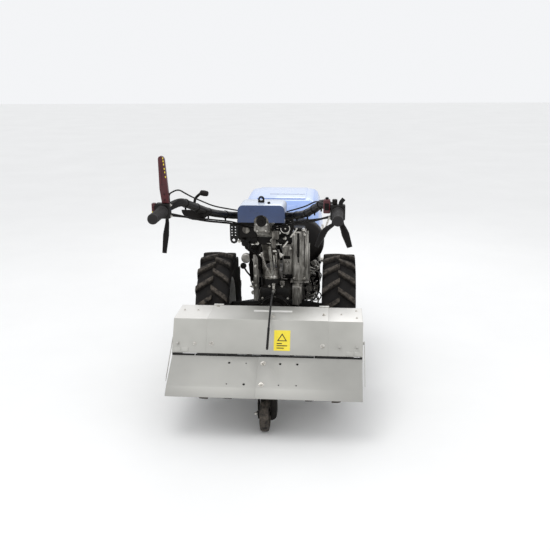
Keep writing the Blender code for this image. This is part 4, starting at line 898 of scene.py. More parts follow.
def dressControls():
    y = grip["clampY"]
    for word, side in (("left", -1), ("right", 1)):
        finished("clamp_" + word + "_body", cleanCopy("clamp_" + word, 0.0018), powderCoat, "handlebars",
            "clamp_" + word)
        finished("clamp_" + word + "_bolts", boltsAt([col(side * (grip["x"] - 0.0262), y, z)
            for z in (0.951, 0.99)], (-side, 0, 0), 0.6), zincPlate, "handlebars")
    # safety lever: a tall red blade in a channel, with pale yellow marks along one edge
    x = -grip["x"]
    outline = [(x - 0.002, 0.9986), (x + 0.025, 0.9986), (x + 0.022, 1.043), (x + 0.014, 1.152),
        (x + 0.009, 1.16), (x + 0.002, 1.1628), (x - 0.005, 1.16), (x - 0.008, 1.153), (x - 0.008, 1.048)]
    blade = plate(fromColumn(outline), "Y", *sorted((at(0, y - 0.009, 0).y, at(0, y + 0.009, 0).y)), 0.002,
        3)
    groove = [block(col(x + 0.001, y - 0.012, 1.06), col(x + 0.008, y - 0.0062, 1.14), 0.001)]
    groove += [roundBar(col(x + 0.01, y - 0.02, z), col(x + 0.01, y - 0.0055, z), 0.0042, 18, 0)
        for z in (1.01, 1.03)]
    drilled(blade, groove)
    finished("safety_blade", blade, redAbs, "handlebars", "safety_lever")
    trigger = block(col(x - 0.0395, y - 0.012, 0.962), col(x - 0.0265, y + 0.01, 0.998), 0.003)
    marks = [block(col(x + 0.0095 + (1.14 - z) * 0.1, y - 0.0098, z),
        col(x + 0.0125 + (1.14 - z) * 0.1, y - 0.0085, z + 0.006), 0.0003, 1)
        for z in (1.088, 1.104, 1.116, 1.131, 1.142, 1.152)]
    marks += [block(col(x - 0.0385, y - 0.0128, 0.966), col(x - 0.0275, y - 0.0118, 0.969), 0.0002, 1)]
    finished("safety_marks", marks, labelVinyl, "handlebars")
    finished("left_trigger", trigger, redAbs, "handlebars")
    low = 0.9427
    blades = {"left_lower": ("left_lower_lever", [(x + 0.012, y, low), (x + 0.012, y, low - 0.015),
        (x + 0.01, y - 0.012, 0.9), (x + 0.002, y - 0.026, 0.822)]),
        "right_outer": ("right_outer_lever", [(-x + 0.014, y, low), (-x + 0.014, y, low - 0.015),
        (-x + 0.024, y - 0.012, 0.908), (-x + 0.044, y - 0.025, 0.852)]),
        "right_inner": ("right_inner_lever", [(-x - 0.014, y, low), (-x - 0.014, y, low - 0.015),
        (-x - 0.045, y + 0.03, 0.9), (-x - 0.073, y + 0.057, 0.834)])}
    for name, (node, points) in blades.items():
        finished(name + "_blade", leverBlade([col(*p) for p in points], 0.0115 if "outer" in name
            else 0.0095, 0.62), blackAbs, "handlebars", node, 50)
    case = block(col(-x - 0.0503, y - 0.014, 0.968), col(-x - 0.0263, y + 0.014, 1.016), 0.004, 3)
    finished("right_switch_case", case, redAbs, "handlebars", "right_switch")
    knobs = [lathe([(1.0163, 0.006), (1.021, 0.006), (1.023, 0.004)], "Z", col(-x - 0.038, y, 0), 20),
        block(col(-x - 0.02, y - 0.012, 0.9985), col(-x - 0.002, y + 0.012, 1.016), 0.004),
        block(col(-x - 0.046, y - 0.0165, 0.98), col(-x - 0.031, y - 0.0138, 1.004), 0.001)]
    finished("right_switch_knobs", knobs, blackAbs, "handlebars")
    rod = [roundBar(col(-x - 0.028, -0.875, 0.945), col(-x - 0.052, -0.8, 0.862), 0.0035),
        roundBar(col(-x - 0.05, -0.8, 0.855), col(-x - 0.054, -0.8, 0.9), 0.0045)]
    finished("right_link_rod", rod, zincPlate, "handlebars")
    # knobbed lever and its curved guard on the left arm
    arm = pipe([col(-0.236, -0.73, 0.958), col(-0.228, -0.745, 0.985), col(-0.205, -0.752, 1.004)], 0.0052,
        0.02, 12)
    knob = lathe([(-0.016, 0.006), (-0.012, 0.01), (0.0, 0.0112), (0.012, 0.01), (0.016, 0.006)], "Z",
        (0, 0, 0), 20)
    head = copied(knob, col(-0.192, -0.752, 1.004), (1, 0, -0.15))
    bpy.data.objects.remove(knob)
    finished("left_knob_lever", [arm, head], blackAbs, "handlebars")
    arcPoints = [(-0.235 + 0.056 * c, 0.932 + 0.04 * s) for c, s in circle(24, 180)[:13]]
    guard = plate(fromColumn(arcPoints), "Y", at(0, -0.712, 0).y, at(0, -0.704, 0).y, 0.0015)
    finished("left_guard", guard, blackAbs, "handlebars")
    bow = [col(-0.284, -0.926, 0.9985), col(-0.286, -0.925, 1.03), col(-0.262, -0.88, 1.04),
        col(-0.234, -0.8, 1.000), col(-0.18, -0.62, 0.93), col(-0.1, -0.52, 0.895)]
    finished("left_bowden", pipe(bow, 0.0028, 0.05, 10), blackAbs, "handlebars")
    bow = [col(0.262, -0.925, 1.0), col(0.23, -0.83, 0.992), col(0.18, -0.64, 0.935),
        col(0.104, -0.52, 0.892)]
    finished("right_bowden", pipe(bow, 0.0028, 0.06, 10), blackAbs, "handlebars")


dressColumn()
dressCover()
dressBars()
dressControls()
print("column and handlebars dressed")


def dressColumnControls():
    # perforated quadrant plate and the dark housing behind it, left of the column
    outline = [(-0.15, 0.745), (-0.145, 0.733), (-0.133, 0.728), (-0.121, 0.733), (-0.116, 0.745),
        (-0.11, 0.815), (-0.132, 0.822), (-0.15, 0.812)]
    quadrant = plate(fromColumn(outline), "Y", at(0, -0.412, 0).y, at(0, -0.408, 0).y, 0.0008)
    holes = [(x, 0.765 + 0.012 * k, 0.0026) for x in (-0.141, -0.126)
        for k in range(4)] + [(-0.134, 0.744, 0.0062)]
    drilled(quadrant, [roundBar(col(x, -0.43, z), col(x, -0.39, z), r, 14, 0) for x, z, r in holes])
    housing = [block(col(-0.118, -0.408, 0.752), col(-0.034, -0.35, 0.838), 0.01, 3),
        block(col(-0.11, -0.352, 0.7), col(-0.05, -0.29, 0.79), 0.01, 3)]
    finished("quadrant_plate", [quadrant], powderCoat, "handlebars")
    finished("left_control_box", housing, blackAbs, "handlebars")
    hub = lathe([(-0.4085, 0.016), (-0.414, 0.016), (-0.417, 0.012), (-0.417, 0.006)], "Y",
        at(columnX - 0.08, 0, 0.79), 28)
    finished("left_box_dial", hub, greyCasting, "handlebars")
    # right of the column: round black dial with a bright ring, small levers and screws
    dial = lathe([(-0.395, 0.0195), (-0.42, 0.0195), (-0.423, 0.017)], "Y", at(columnX + 0.09, 0, 0.8), 36)
    arm = block(col(0.026, -0.405, 0.792), col(0.088, -0.397, 0.808), 0.002)
    finished("right_dial", [dial, arm], blackAbs, "handlebars")
    ring = lathe([(-0.4235, 0.0205), (-0.4265, 0.0205), (-0.4265, 0.0178), (-0.4235, 0.0178)], "Y",
        at(columnX + 0.09, 0, 0.8), 36, ring=True)
    face = lathe([(-0.423, 0.0035), (-0.4275, 0.0035), (-0.4285, 0.0025)], "Y", at(columnX + 0.09, 0, 0.8),
        16)
    finished("dial_ring", [ring, face] + boltsAt([col(0.055, -0.405, 0.8)], (0, -1, 0), 0.7), zincPlate,
        "handlebars")
    plates = [block(col(0.034, -0.44, 0.755), col(0.062, -0.4, 0.79), 0.003),
        block(col(0.032, -0.43, 0.716), col(0.048, -0.385, 0.752), 0.003)]
    finished("right_brackets", plates, greyCasting, "handlebars")
    rods = [roundBar(col(0.11, -0.396, 0.756), col(0.138, -0.396, 0.796), 0.0042),
        roundBar(col(0.078, -0.396, 0.712), col(0.098, -0.396, 0.738), 0.0042)]
    holders = [roundBar(col(0.11, -0.396, 0.757), col(0.096, -0.36, 0.76), 0.004),
        roundBar(col(0.079, -0.396, 0.713), col(0.06, -0.36, 0.722), 0.004)]
    finished("right_bright_rods", rods, zincPlate, "handlebars")
    finished("right_rod_arms", holders, powderCoat, "handlebars")


def dressRods():
    # selector rods that run from the column down to the gearbox
    rodA = pipe([col(0.008, -0.286, 0.69), col(0.012, -0.24, 0.6), col(0.018, -0.212, 0.522)], 0.0064, 0.03)
    rodB = pipe([col(-0.03, -0.262, 0.65), col(-0.016, -0.235, 0.58), col(0.012, -0.212, 0.52)], 0.0044,
        0.03)
    yoke = [block(col(0.006, -0.219, 0.514), col(0.028, -0.205, 0.53), 0.003),
        roundBar(col(0.002, -0.212, 0.522), col(0.032, -0.212, 0.522), 0.0035)]
    pins = [roundBar(col(0.026, -0.262, 0.64), col(0.028, -0.24, 0.565), 0.0028),
        roundBar(col(0.036, -0.262, 0.65), col(0.036, -0.242, 0.59), 0.0022),
        block(col(0.022, -0.262, 0.655), col(0.044, -0.25, 0.664), 0.001)]
    finished("selector_rods", [rodA, rodB] + yoke + pins, zincPlate, "handlebars")
    stub = [roundBar(col(0.019, -0.2035, 0.482), col(0.02, -0.2035, 0.405), 0.0066),
        lathe([(0.478, 0.0085), (0.486, 0.0085), (0.488, 0.006)], "Z", col(0.019, -0.2035, 0), 20)]
    finished("selector_stub", stub, zincPlate, "chassis")
    tower = [block(at(-0.112, -0.112, 0.37), at(-0.084, -0.096, 0.6), 0.004),
        block(at(-0.104, -0.125, 0.44), at(-0.092, -0.084, 0.56), 0.003)]
    tower += [block(at(-0.092, -0.11, 0.4), at(-0.074, -0.098, 0.425), 0.003)]
    finished("left_gate_strip", tower, streakedCast, "chassis")
    cap = [lathe([(-0.03, 0.006), (-0.03, 0.018), (-0.026, 0.0235), (-0.012, 0.0245), (-0.004, 0.021),
        (0.01, 0.014)], "Y", at(-0.157, 0, 0.56), 36)]
    arm = [roundBar(at(-0.15, 0.0, 0.556), at(-0.106, -0.004, 0.535), 0.006),
        roundBar(at(-0.1, 0.0, 0.56), at(-0.094, 0.0, 0.46), 0.008)]
    finished("left_filler_cap", cap + arm, dieCast, "chassis")
    knob = lathe([(-0.042, 0.006), (-0.04, 0.014), (-0.03, 0.0155), (-0.02, 0.011)], "Y",
        at(-0.17, 0, 0.524), 28)
    hoses = [pipe([at(-0.168, -0.024, 0.516), at(-0.158, -0.01, 0.49), at(-0.132, 0.03, 0.44),
        at(-0.1, 0.05, 0.38)], 0.0042, 0.03), pipe([at(-0.118, -0.08, 0.64), at(-0.135, -0.06, 0.59),
        at(-0.12, -0.05, 0.52), at(-0.128, -0.04, 0.45), at(-0.095, -0.03, 0.4)], 0.0055, 0.05),
        pipe([at(-0.075, -0.08, 0.64), at(-0.09, -0.1, 0.56), at(-0.07, -0.13, 0.5),
        at(-0.066, -0.15, 0.462)], 0.0045, 0.05)]
    finished("left_knob_and_hoses", [knob] + hoses, blackAbs, "chassis")
    bits = [roundBar(at(-0.128, -0.05, 0.446), at(-0.112, -0.05, 0.446), 0.007, 18),
        roundBar(at(-0.14, -0.02, 0.418), at(-0.114, -0.02, 0.41), 0.0055, 16),
        lathe([(-0.06, 0.01), (-0.052, 0.01)], "Y", at(-0.12, 0, 0.395), 20)]
    bits += boltsAt([at(-0.099, -0.128, z) for z in (0.452, 0.5, 0.548)], (0, -1, 0), 0.8)
    finished("left_fittings", bits, stainedZinc, "chassis")


def dressConsole():
    # the dark console behind the column, with its screws, rings, gauge and cable ends
    outline = [(-0.122, 0.742), (-0.11, 0.724), (-0.04, 0.716), (0.02, 0.716), (0.078, 0.726),
        (0.104, 0.748), (0.126, 0.79), (0.122, 0.828), (0.104, 0.838), (-0.11, 0.838), (-0.124, 0.826)]
    back = plate(fromColumn(outline), "Y", at(0, -0.372, 0).y, at(0, -0.336, 0).y, 0.005, 3)
    lumps = [block(col(0.034, -0.386, 0.766), col(0.07, -0.37, 0.79), 0.005),
        block(col(-0.06, -0.384, 0.728), col(-0.034, -0.37, 0.76), 0.004),
        block(col(0.04, -0.384, 0.73), col(0.076, -0.37, 0.756), 0.004)]
    lumps += [lathe([(-0.404, 0.0065), (-0.4, 0.01), (-0.37, 0.012)], "Y", at(columnX + x, 0, z), 24)
        for x, z in ((-0.096, 0.742), (0.06, 0.742), (-0.05, 0.772))]
    finished("console_back", [back] + lumps, blackAbs, "handlebars")
    rings = [lathe([(-0.392, r), (-0.395, r), (-0.395, r - 0.0022), (-0.392, r - 0.0022)], "Y",
        at(columnX + x, 0, z), 28, ring=True) for x, z, r in ((0.052, 0.778, 0.0115), (-0.1, 0.79, 0.009),
        (0.03, 0.74, 0.008))]
    studs = boltsAt([col(x, -0.3865, z) for x, z in ((0.04, 0.784), (0.062, 0.772), (0.052, 0.778))],
        (0, -1, 0), 0.7)
    studs += boltsAt([col(x, -0.3725, z) for x, z in ((-0.116, 0.73), (-0.1, 0.752), (-0.044, 0.734),
        (-0.036, 0.722), (0.034, 0.728), (0.05, 0.722), (0.084, 0.746), (0.096, 0.77), (0.11, 0.812),
        (0.034, 0.812), (-0.06, 0.812), (-0.084, 0.828))], (0, -1, 0), 0.8)
    studs += [roundBar(col(-0.06, -0.392, 0.722), col(-0.04, -0.392, 0.722), 0.0032, 12),
        roundBar(col(0.008, -0.392, 0.728), col(0.072, -0.392, 0.722), 0.003, 12),
        roundBar(col(0.03, -0.392, 0.716), col(0.03, -0.392, 0.744), 0.0028, 12)]
    finished("console_fittings", rings + studs, stainedZinc, "handlebars")
    leads = [pipe([col(0.07, -0.38, 0.82), col(0.1, -0.4, 0.834), col(0.116, -0.405, 0.806),
        col(0.092, -0.395, 0.776), col(0.08, -0.38, 0.75)], 0.0032, 0.03, 10),
        pipe([col(-0.07, -0.38, 0.726), col(-0.076, -0.35, 0.69), col(-0.056, -0.29, 0.66),
        col(-0.044, -0.24, 0.62), col(-0.048, -0.212, 0.56)], 0.0048, 0.04, 12),
        pipe([col(0.01, -0.38, 0.722), col(0.036, -0.34, 0.7), col(0.05, -0.29, 0.66),
        col(0.048, -0.25, 0.62)], 0.004, 0.04, 12)]
    finished("console_leads", leads, blackAbs, "handlebars")


def dressHarness():
    # wires, hoses and clips between the engine and the right wheel
    dark, pale = [], []
    for k in range(7):
        a = 0.9 * k
        x, y, z = 0.168 + 0.014 * math.sin(a * 1.7), 0.135 + 0.006 * k, 0.3 + 0.026 * k
        ring = [at(x - 0.03, y, z), at(x + 0.01, y - 0.012, z + 0.024),
            at(x + 0.032, y, z + 0.004 * math.cos(a)), at(x + 0.024, y + 0.012, z - 0.03),
            at(x - 0.016, y + 0.01, z - 0.036), at(x - 0.04, y + 0.004, z + 0.01)]
        (dark if k % 3 == 1 else pale).append(pipe(ring, 0.003 if k % 3 else 0.0042, 0.03, 10))
    dark += [pipe([at(0.128, 0.11, 0.53), at(0.16, 0.1, 0.5), at(0.196, 0.11, 0.44), at(0.204, 0.13, 0.36),
        at(0.18, 0.15, 0.3), at(0.13, 0.16, 0.27)], 0.0048, 0.05, 12),
        pipe([at(0.11, 0.1, 0.5), at(0.15, 0.094, 0.44), at(0.176, 0.104, 0.38), at(0.15, 0.13, 0.31),
        at(0.1, 0.15, 0.29)], 0.0036, 0.05, 12)]
    pale += [pipe([at(0.12, 0.092, 0.5), at(0.168, 0.088, 0.486), at(0.2, 0.096, 0.462),
        at(0.206, 0.11, 0.42)], 0.003, 0.04, 10)]
    left = [(-0.172, 0.69), (-0.176, 0.64), (-0.166, 0.6), (-0.142, 0.58), (-0.134, 0.556), (-0.15, 0.52),
        (-0.146, 0.482), (-0.142, 0.431), (-0.126, 0.401), (-0.104, 0.393), (-0.08, 0.47), (-0.08, 0.69)]
    mass = plate(left, "Y", at(0, 0.01, 0).y, at(0, 0.06, 0).y, 0.006, 3)
    mass = [mass] + [block(at(x, -0.004, z), at(x + 0.03, 0.012, z + 0.04), 0.006, 3)
        for x, z in ((-0.166, 0.63), (-0.132, 0.6), (-0.128, 0.47), (-0.124, 0.42))]
    mass += [roundBar(at(x, 0.02, 0.4), at(x, 0.02, 0.68), r)
        for x, r in ((-0.093, 0.006), (-0.08, 0.005), (-0.108, 0.004))]
    finished("left_engine_shroud", mass, blackAbs, "chassis")
    right = [(0.107, 0.51), (0.139, 0.524), (0.164, 0.516), (0.183, 0.486), (0.2, 0.439), (0.201, 0.359),
        (0.185, 0.319), (0.16, 0.286), (0.083, 0.284), (0.082, 0.51)]
    wall = plate(right, "Y", at(0, 0.172, 0).y, at(0, 0.194, 0).y, 0.006, 3)
    wall = [wall] + [block(at(0.092 + 0.0125 * k, 0.16, 0.306 + 0.006 * (k % 3)),
        at(0.097 + 0.0125 * k, 0.174, 0.47 - 0.01 * (k % 2)), 0.0015) for k in range(8)]
    finished("engine_side_casting", wall, dieCast, "chassis")
    clips = [block(at(x, y, z), at(x + 0.012, y + 0.006, z + 0.018), 0.001)
        for x, y, z in ((0.15, 0.11, 0.4), (0.172, 0.118, 0.352), (0.136, 0.108, 0.33),
        (0.188, 0.112, 0.47), (0.126, 0.112, 0.45), (0.16, 0.13, 0.282))]
    for k in range(6):
        z = 0.318 + 0.028 * k
        pale.append(pipe([at(0.14, 0.128, z), at(0.166, 0.118 + 0.003 * k, z + 0.018 * (-1) ** k),
            at(0.194, 0.128, z + 0.006), at(0.203, 0.146, z - 0.022 * (-1) ** k)], 0.0026, 0.03, 8))
    pale.append(lathe([(0.098, 0.03), (0.102, 0.03), (0.102, 0.0255), (0.098, 0.0255)], "Y",
        at(0.172, 0, 0.494), 36, ring=True))
    finished("engine_wires", dark, blackAbs, "chassis")
    finished("engine_bright_lines", pale + clips, zincPlate, "chassis")
    # rough casting of the intake side, between the gearbox and the engine
    lumps = [block(at(0.08, 0.112, 0.3), at(0.128, 0.15, 0.38), 0.01, 3),
        block(at(0.118, 0.12, 0.392), at(0.16, 0.16, 0.44), 0.008, 3),
        block(at(0.132, 0.126, 0.3), at(0.17, 0.17, 0.344), 0.008, 3)]
    lumps += [lathe([(0.1, 0.006), (0.1, 0.018), (0.112, 0.02), (0.14, 0.02)], "Y", at(x, 0, z), 24)
        for x, z in ((0.15, 0.372), (0.11, 0.42))]
    finished("intake_castings", lumps, streakedCast, "chassis")


dressColumnControls()
dressRods()
dressConsole()
dressHarness()
print("controls beside the column dressed")


def dressRightSide():
    # ribbed housing right of the column, with its rounded dark top, and the plate box beside it
    low, high = Vector(at(0.075, -0.091, 0.468)), Vector(at(0.141, -0.003, 0.711))
    case = block(low, high, 0.006, 3)
    fins = [block((high.x - 0.001, low.y + 0.006 + 0.0105 * k, low.z + 0.012),
        (high.x + 0.01, low.y + 0.0105 * k + 0.0095, high.z - 0.012), 0.001) for k in range(8)]
    slots = [block((low.x + 0.01 + 0.0115 * k, low.y - 0.002, low.z + 0.08),
        (low.x + 0.014 + 0.0115 * k, low.y + 0.006, high.z - 0.035), 0) for k in range(5)]
    drilled(case, slots)
    bracket = [(-0.096, 0.4603), (0.0, 0.4603), (0.0, 0.6363), (-0.0055, 0.6363), (-0.0055, 0.466),
        (-0.096, 0.466)]
    foot = plate(fromAxle(bracket), "X", 0.066, 0.156, 0.001)
    small = block(at(0.0245, -0.0455, 0.464), at(0.073, -0.006, 0.631), 0.005, 3)
    drilled(small, [block(at(0.036, -0.05, 0.56), at(0.044, -0.04, 0.6), 0),
        block(at(0.052, -0.05, 0.5), at(0.057, -0.04, 0.54), 0)])
    finished("ribbed_housing", [case] + fins + [foot, small], streakedCast, "chassis", "battery_box")
    top = block(at(0.08, -0.078, 0.7113), at(0.136, -0.012, 0.726), 0.01, 3)
    gaps = [block(at(0.0985, -0.0935, 0.588), at(0.1085, -0.0905, 0.705), 0.001),
        block(at(0.1015, -0.0935, 0.56), at(0.1065, -0.0905, 0.59), 0.001),
        block(at(0.13, -0.093, 0.54), at(0.1335, -0.0905, 0.7), 0.001),
        block(at(0.0785, -0.0925, 0.476), at(0.081, -0.0905, 0.7), 0.0008)]
    gaps += [block(at(0.03, -0.0475, 0.566), at(0.063, -0.045, 0.5815), 0.001),
        lathe([(-0.049, 0.008), (-0.0455, 0.008)], "Y", at(0.1, 0, 0.575), 20),
        block(at(0.0255, -0.047, 0.468), at(0.072, -0.045, 0.488), 0.001)]
    finished("ribbed_housing_top", [top] + gaps, blackAbs, "chassis")
    hook = pipe([at(0.04, -0.05, 0.545), at(0.046, -0.052, 0.556), at(0.055, -0.052, 0.55),
        at(0.054, -0.052, 0.536), at(0.044, -0.052, 0.528)], 0.0022, 0.006, 10)
    knob = lathe([(-0.097, 0.004), (-0.095, 0.0078), (-0.088, 0.0085), (-0.078, 0.007)], "Y",
        at(0.128, 0, 0.722), 24)
    finished("ribbed_housing_hook", [hook, knob], zincPlate, "chassis")
    heads = boltsAt([at(x, -0.0912, z) for x in (0.083, 0.134) for z in (0.482, 0.698)], (0, -1, 0), 0.6)
    heads += boltsAt([at(0.034, -0.0457, 0.478), at(0.064, -0.0457, 0.618)], (0, -1, 0), 0.55)
    finished("ribbed_housing_screws", heads, zincPlate, "chassis")


def dressCanister():
    centre = at(0.115, 0, 0.63)
    wall = [(0.0045, 0.012), (0.0045, 0.052), (0.009, 0.062), (0.0095, 0.078), (0.018, 0.092),
        (0.03, 0.104), (0.042, 0.1095), (0.06, 0.1095), (0.062, 0.106), (0.066, 0.106), (0.068, 0.1095),
        (0.098, 0.1095), (0.1035, 0.104), (0.1035, 0.05)]
    can = lathe(wall, "Y", centre, 64)
    duct = roundBar(at(0.115, 0.09, 0.547), at(0.115, 0.1995, 0.547), 0.0155, 32)
    clips = []
    for k in range(4):
        turn = math.radians(90 * k + 35)
        clip = block((-0.01, 0.046, 0.1045), (0.01, 0.084, 0.1093), 0.001)
        clip.data.transform(Matrix.Translation(centre) @ Matrix.Rotation(turn, 4, "Y"))
        clips.append(clip)
    finished("air_cleaner", [can, duct] + clips, blackAbs, "chassis", "air_filter")


def dressEngine():
    crank = cleanCopy("engine_crankcase", 0.003, 2)
    trim = [block(at(-0.1175, 0.196, 0.3), at(-0.1145, 0.456, 0.308), 0.001),
        block(at(-0.1175, 0.196, 0.244), at(-0.1145, 0.456, 0.249), 0.001)]
    trim += [block(at(-0.1165, y - 0.0025, 0.249), at(-0.1145, y + 0.0025, 0.4), 0.0008)
        for y in (0.215, 0.245, 0.275, 0.375, 0.405, 0.435)]
    cap = lathe([(-0.1145, 0.052), (-0.122, 0.052), (-0.125, 0.048), (-0.125, 0.02), (-0.13, 0.017)], "X",
        at(0, 0.325, 0.345), 44)
    filler = lathe([(0.0, 0.014), (0.014, 0.014), (0.016, 0.018), (0.026, 0.018), (0.029, 0.014)], "Z",
        (0, 0, 0), 28)
    filler.data.transform(Matrix.Translation(at(-0.115, 0.4, 0.272))
        @ Matrix.Rotation(math.radians(-58), 4, "Y"))
    finished("crankcase_cast", [crank] + trim + [cap, filler], dieCast, "chassis", "engine_crankcase")
    spots = [at(-0.1252, 0.325 + 0.041 * c, 0.345 + 0.041 * s) for c, s in circle(6)]
    spots += [at(-0.1175, y, 0.262) for y in (0.23, 0.29, 0.35, 0.42)]
    finished("crankcase_bolts", boltsAt(spots, (-1, 0, 0), 0.65), zincPlate, "chassis")
    # cylinder: close cooling fins round a barrel, a head plate and a rocker cover
    fins = [block(at(0.07 + 0.0105 * k, 0.203 + 0.002 * (k % 2), 0.303),
        at(0.0738 + 0.0105 * k, 0.398 - 0.002 * (k % 2), 0.577), 0.001) for k in range(9)]
    barrel = [block(at(0.0606, 0.222, 0.318), at(0.168, 0.382, 0.56), 0.01, 3)]
    head = [block(at(0.166, 0.206, 0.322), at(0.176, 0.394, 0.556), 0.004),
        block(at(0.176, 0.226, 0.345), at(0.2018, 0.372, 0.53), 0.014, 4)]
    finished("cylinder_finned", barrel + fins + head, streakedCast, "chassis", "engine_cylinder")
    spots = [at(0.1762, y, z) for y in (0.216, 0.383) for z in (0.335, 0.44, 0.543)]
    finished("cylinder_bolts", boltsAt(spots, (1, 0, 0), 0.75), zincPlate, "chassis")
    finished("fuel_tank_moulded", cleanCopy("fuel_tank", 0.008, 3), blackAbs, "chassis", "fuel_tank")
    lead = pipe([at(0.15, 0.262, 0.562), at(0.17, 0.19, 0.56), at(0.2, 0.15, 0.48), at(0.185, 0.16, 0.4),
        at(0.12, 0.17, 0.33), at(0.075, 0.18, 0.3)], 0.0042, 0.05, 12)
    plug = lathe([(0.0, 0.0085), (0.02, 0.0085), (0.026, 0.006), (0.034, 0.006)], "Z", (0, 0, 0), 20)
    plug.data.transform(Matrix.Translation(at(0.2, 0.25, 0.47)) @ Matrix.Rotation(math.radians(70), 4, "X"))
    hoses = [pipe([at(0.06, 0.196, 0.42), at(0.075, 0.165, 0.44), at(0.12, 0.15, 0.47),
        at(0.128, 0.12, 0.54)], 0.0065, 0.05, 14), pipe([at(-0.1, 0.196, 0.4), at(-0.135, 0.15, 0.42),
        at(-0.14, 0.1, 0.5), at(-0.11, 0.06, 0.56)], 0.005, 0.05, 12)]
    finished("engine_hoses", [lead, plug] + hoses, blackAbs, "chassis")
    carb = [block(at(0.085, 0.15, 0.515), at(0.145, 0.1995, 0.575), 0.006, 3),
        lathe([(0.5, 0.012), (0.506, 0.02), (0.5148, 0.022)], "Z", at(0.115, 0.172, 0), 28),
        lathe([(0.15, 0.01), (0.14, 0.01)], "X", at(0, 0.172, 0.545), 16)]
    finished("carburettor", carb, dieCast, "chassis")


def dressCowl():
    # flywheel cowl and recoil starter with a round louvred grille
    cowl = cleanCopy("flywheel_cowl", 0.004, 3, 35)
    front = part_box("flywheel_cowl")[1].y
    middle = Vector((0, 0, shaftZ))
    cuts = []
    for k in range(24):
        turn = math.radians(15 * k)
        slot = block((-0.0028, front - 0.006, 0.05), (0.0028, front + 0.004, 0.096), 0)
        slot.data.transform(Matrix.Translation(middle) @ Matrix.Rotation(turn, 4, "Y"))
        cuts.append(slot)
    drilled(cowl, cuts)
    rings = [lathe([(front - 0.0005, r), (front - 0.003, r), (front - 0.003, r - 0.003),
        (front - 0.0005, r - 0.003)], "Y", middle, 48, ring=True) for r in (0.103, 0.074)]
    boss = lathe([(front - 0.006, 0.034), (front - 0.0008, 0.032), (front - 0.0002, 0.024)], "Y", middle,
        36)
    finished("cowl_moulded", [cowl, boss] + rings, blackAbs, "chassis", "flywheel_cowl", 36)
    handle = block(at(-0.03, 0.588, 0.488), at(0.02, 0.606, 0.502), 0.006, 3)
    finished("starter_handle", handle, gripRubber, "chassis")
    body = cleanCopy("muffler", 0.004, 3, 35)
    seams = [block(at(0.0835, 0.431, 0.3985), at(0.2015, 0.437, 0.5715), 0.006, 2)]
    dots = [lathe([(0.4555, 0.0032), (0.4575, 0.0032), (0.4578, 0.002)], "Y", at(x, 0, z), 10)
        for x in (0.112, 0.1265, 0.141, 0.1555, 0.17) for z in (0.455, 0.4695, 0.484, 0.4985, 0.513,
        0.5275)]
    finished("silencer", [body] + seams + dots, zincPlate, "chassis", "muffler")


def dressBumper():
    bar = cleanCopy("front_bumper", 0.0004, 1, 60)
    finished("bumper_tube", bar, powderCoat, "chassis", "front_bumper", 50)


def dressHood():
    hood = cleanCopy("engine_hood", 0.0, 1)
    active(hood)
    soft = hood.modifiers.new("soft", "BEVEL")
    soft.width, soft.segments, soft.limit_method, soft.angle_limit = 0.004, 3, "ANGLE", math.radians(22)
    bpy.ops.object.modifier_apply(modifier="soft")
    slots = [block(at(x - 0.03, 0.6, z - 0.004), at(x + 0.03, 0.66, z + 0.004), 0.0035)
        for x in (-0.1, -0.033, 0.033, 0.1) for z in (0.64, 0.662)]
    sides = [block(at(side * 0.17, y - 0.02, z - 0.004), at(side * 0.24, y + 0.02, z + 0.004), 0.0035)
        for side in (-1, 1) for y in (0.3, 0.36, 0.42) for z in (0.672, 0.694, 0.716)]
    drilled(hood, slots + sides)
    finished("hood_pressed", hood, hoodBlue, "chassis", "engine_hood", 38)
    lift = Matrix.Translation(at(0, 0.329, 0.8245)) @ Matrix.Rotation(math.atan2(0.022, 0.322), 4, "X")
    panel = block((-0.125, -0.12, -0.001), (0.125, 0.125, 0.0022), 0.0021, 4)
    line = block((-0.065, -0.034, 0.002), (0.118, -0.03, 0.0028), 0.0003, 1)
    for part in (panel, line):
        part.data.transform(lift)
    finished("hood_raised_panel", panel, hoodBlue, "chassis", (), 38)
    finished("hood_panel_slot", line, blackAbs, "chassis")


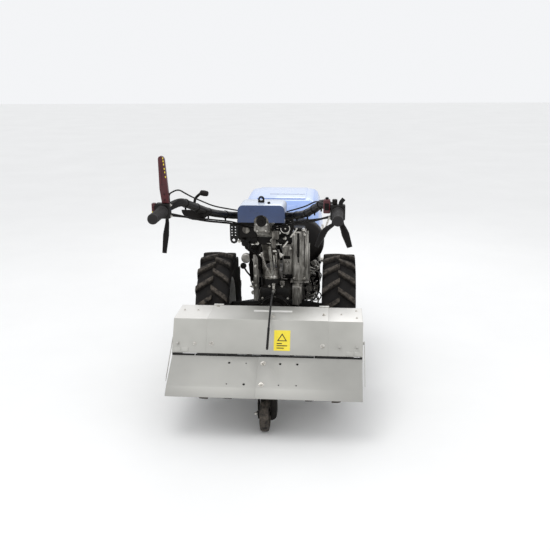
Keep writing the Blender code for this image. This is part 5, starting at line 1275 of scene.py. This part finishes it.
dressRightSide()
dressCanister()
dressEngine()
dressCowl()
dressBumper()
dressHood()
bpy.data.objects.remove(boltHead)
left = [n for n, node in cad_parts.items() if not node.hide_render]
print("engine dressed; CAD nodes still shown:", left)

# floor, light and camera
ground = {"size": 60, "drop": 0.0015}
bpy.ops.mesh.primitive_plane_add(size=ground["size"], location=(0, 0, -ground["drop"]))
floor = bpy.context.object
floor.name = "floor"
paper = surface("matPaperFloor", {"IOR": 1.4, "Specular IOR Level": 0.2},
    [(0.3, "#f4f4f3"), (0.7, "#f8f8f7")], 900, 40, 0.02, (0.9, 0.95))
floor.data.materials.append(paper)

world = bpy.data.worlds.new("studio")
bpy.context.scene.world = world
world.use_nodes = True
background = world.node_tree.nodes["Background"].inputs
background["Color"].default_value = srgb("#f7f8fa")
background["Strength"].default_value = 0.97
lights = {"keyAbove": ((-0.6, -1.2, 3.4), 26, 1.6), "fillRight": ((3.0, -1.6, 2.2), 8, 1.6),
    "backTop": ((0.4, 2.6, 2.8), 12, 1.6)}
for name, (place, power, size) in lights.items():
    bpy.ops.object.light_add(type="AREA", location=place)
    lamp = bpy.context.object
    lamp.name = name
    lamp.data.energy = power
    lamp.data.size = size
    lamp.rotation_euler = (Vector((0, -0.1, 0.4)) - Vector(place)).to_track_quat("-Z", "Y").to_euler()

view = {"turn": 4.9, "rise": 17.5, "distance": 3.3, "aim": at(0, -0.2, 0.45), "lens": 45.8,
    "shiftUp": 0.029, "roll": -0.4}
turn, rise = math.radians(view["turn"]), math.radians(view["rise"])
ahead = Vector((-math.sin(turn) * math.cos(rise), math.cos(turn) * math.cos(rise), -math.sin(rise)))
bpy.ops.object.camera_add(location=view["aim"] - ahead * view["distance"])
camera = bpy.context.object
camera.name = "camera"
camera.rotation_euler = (ahead.to_track_quat("-Z", "Y").to_matrix()
    @ Matrix.Rotation(math.radians(view["roll"]), 3, "Z")).to_euler()
camera.data.lens = view["lens"]
camera.data.sensor_width = 36
camera.data.shift_y = view["shiftUp"]
bpy.context.scene.camera = camera
bpy.context.scene.view_settings.view_transform = "Standard"
print("floor, lights and camera set")
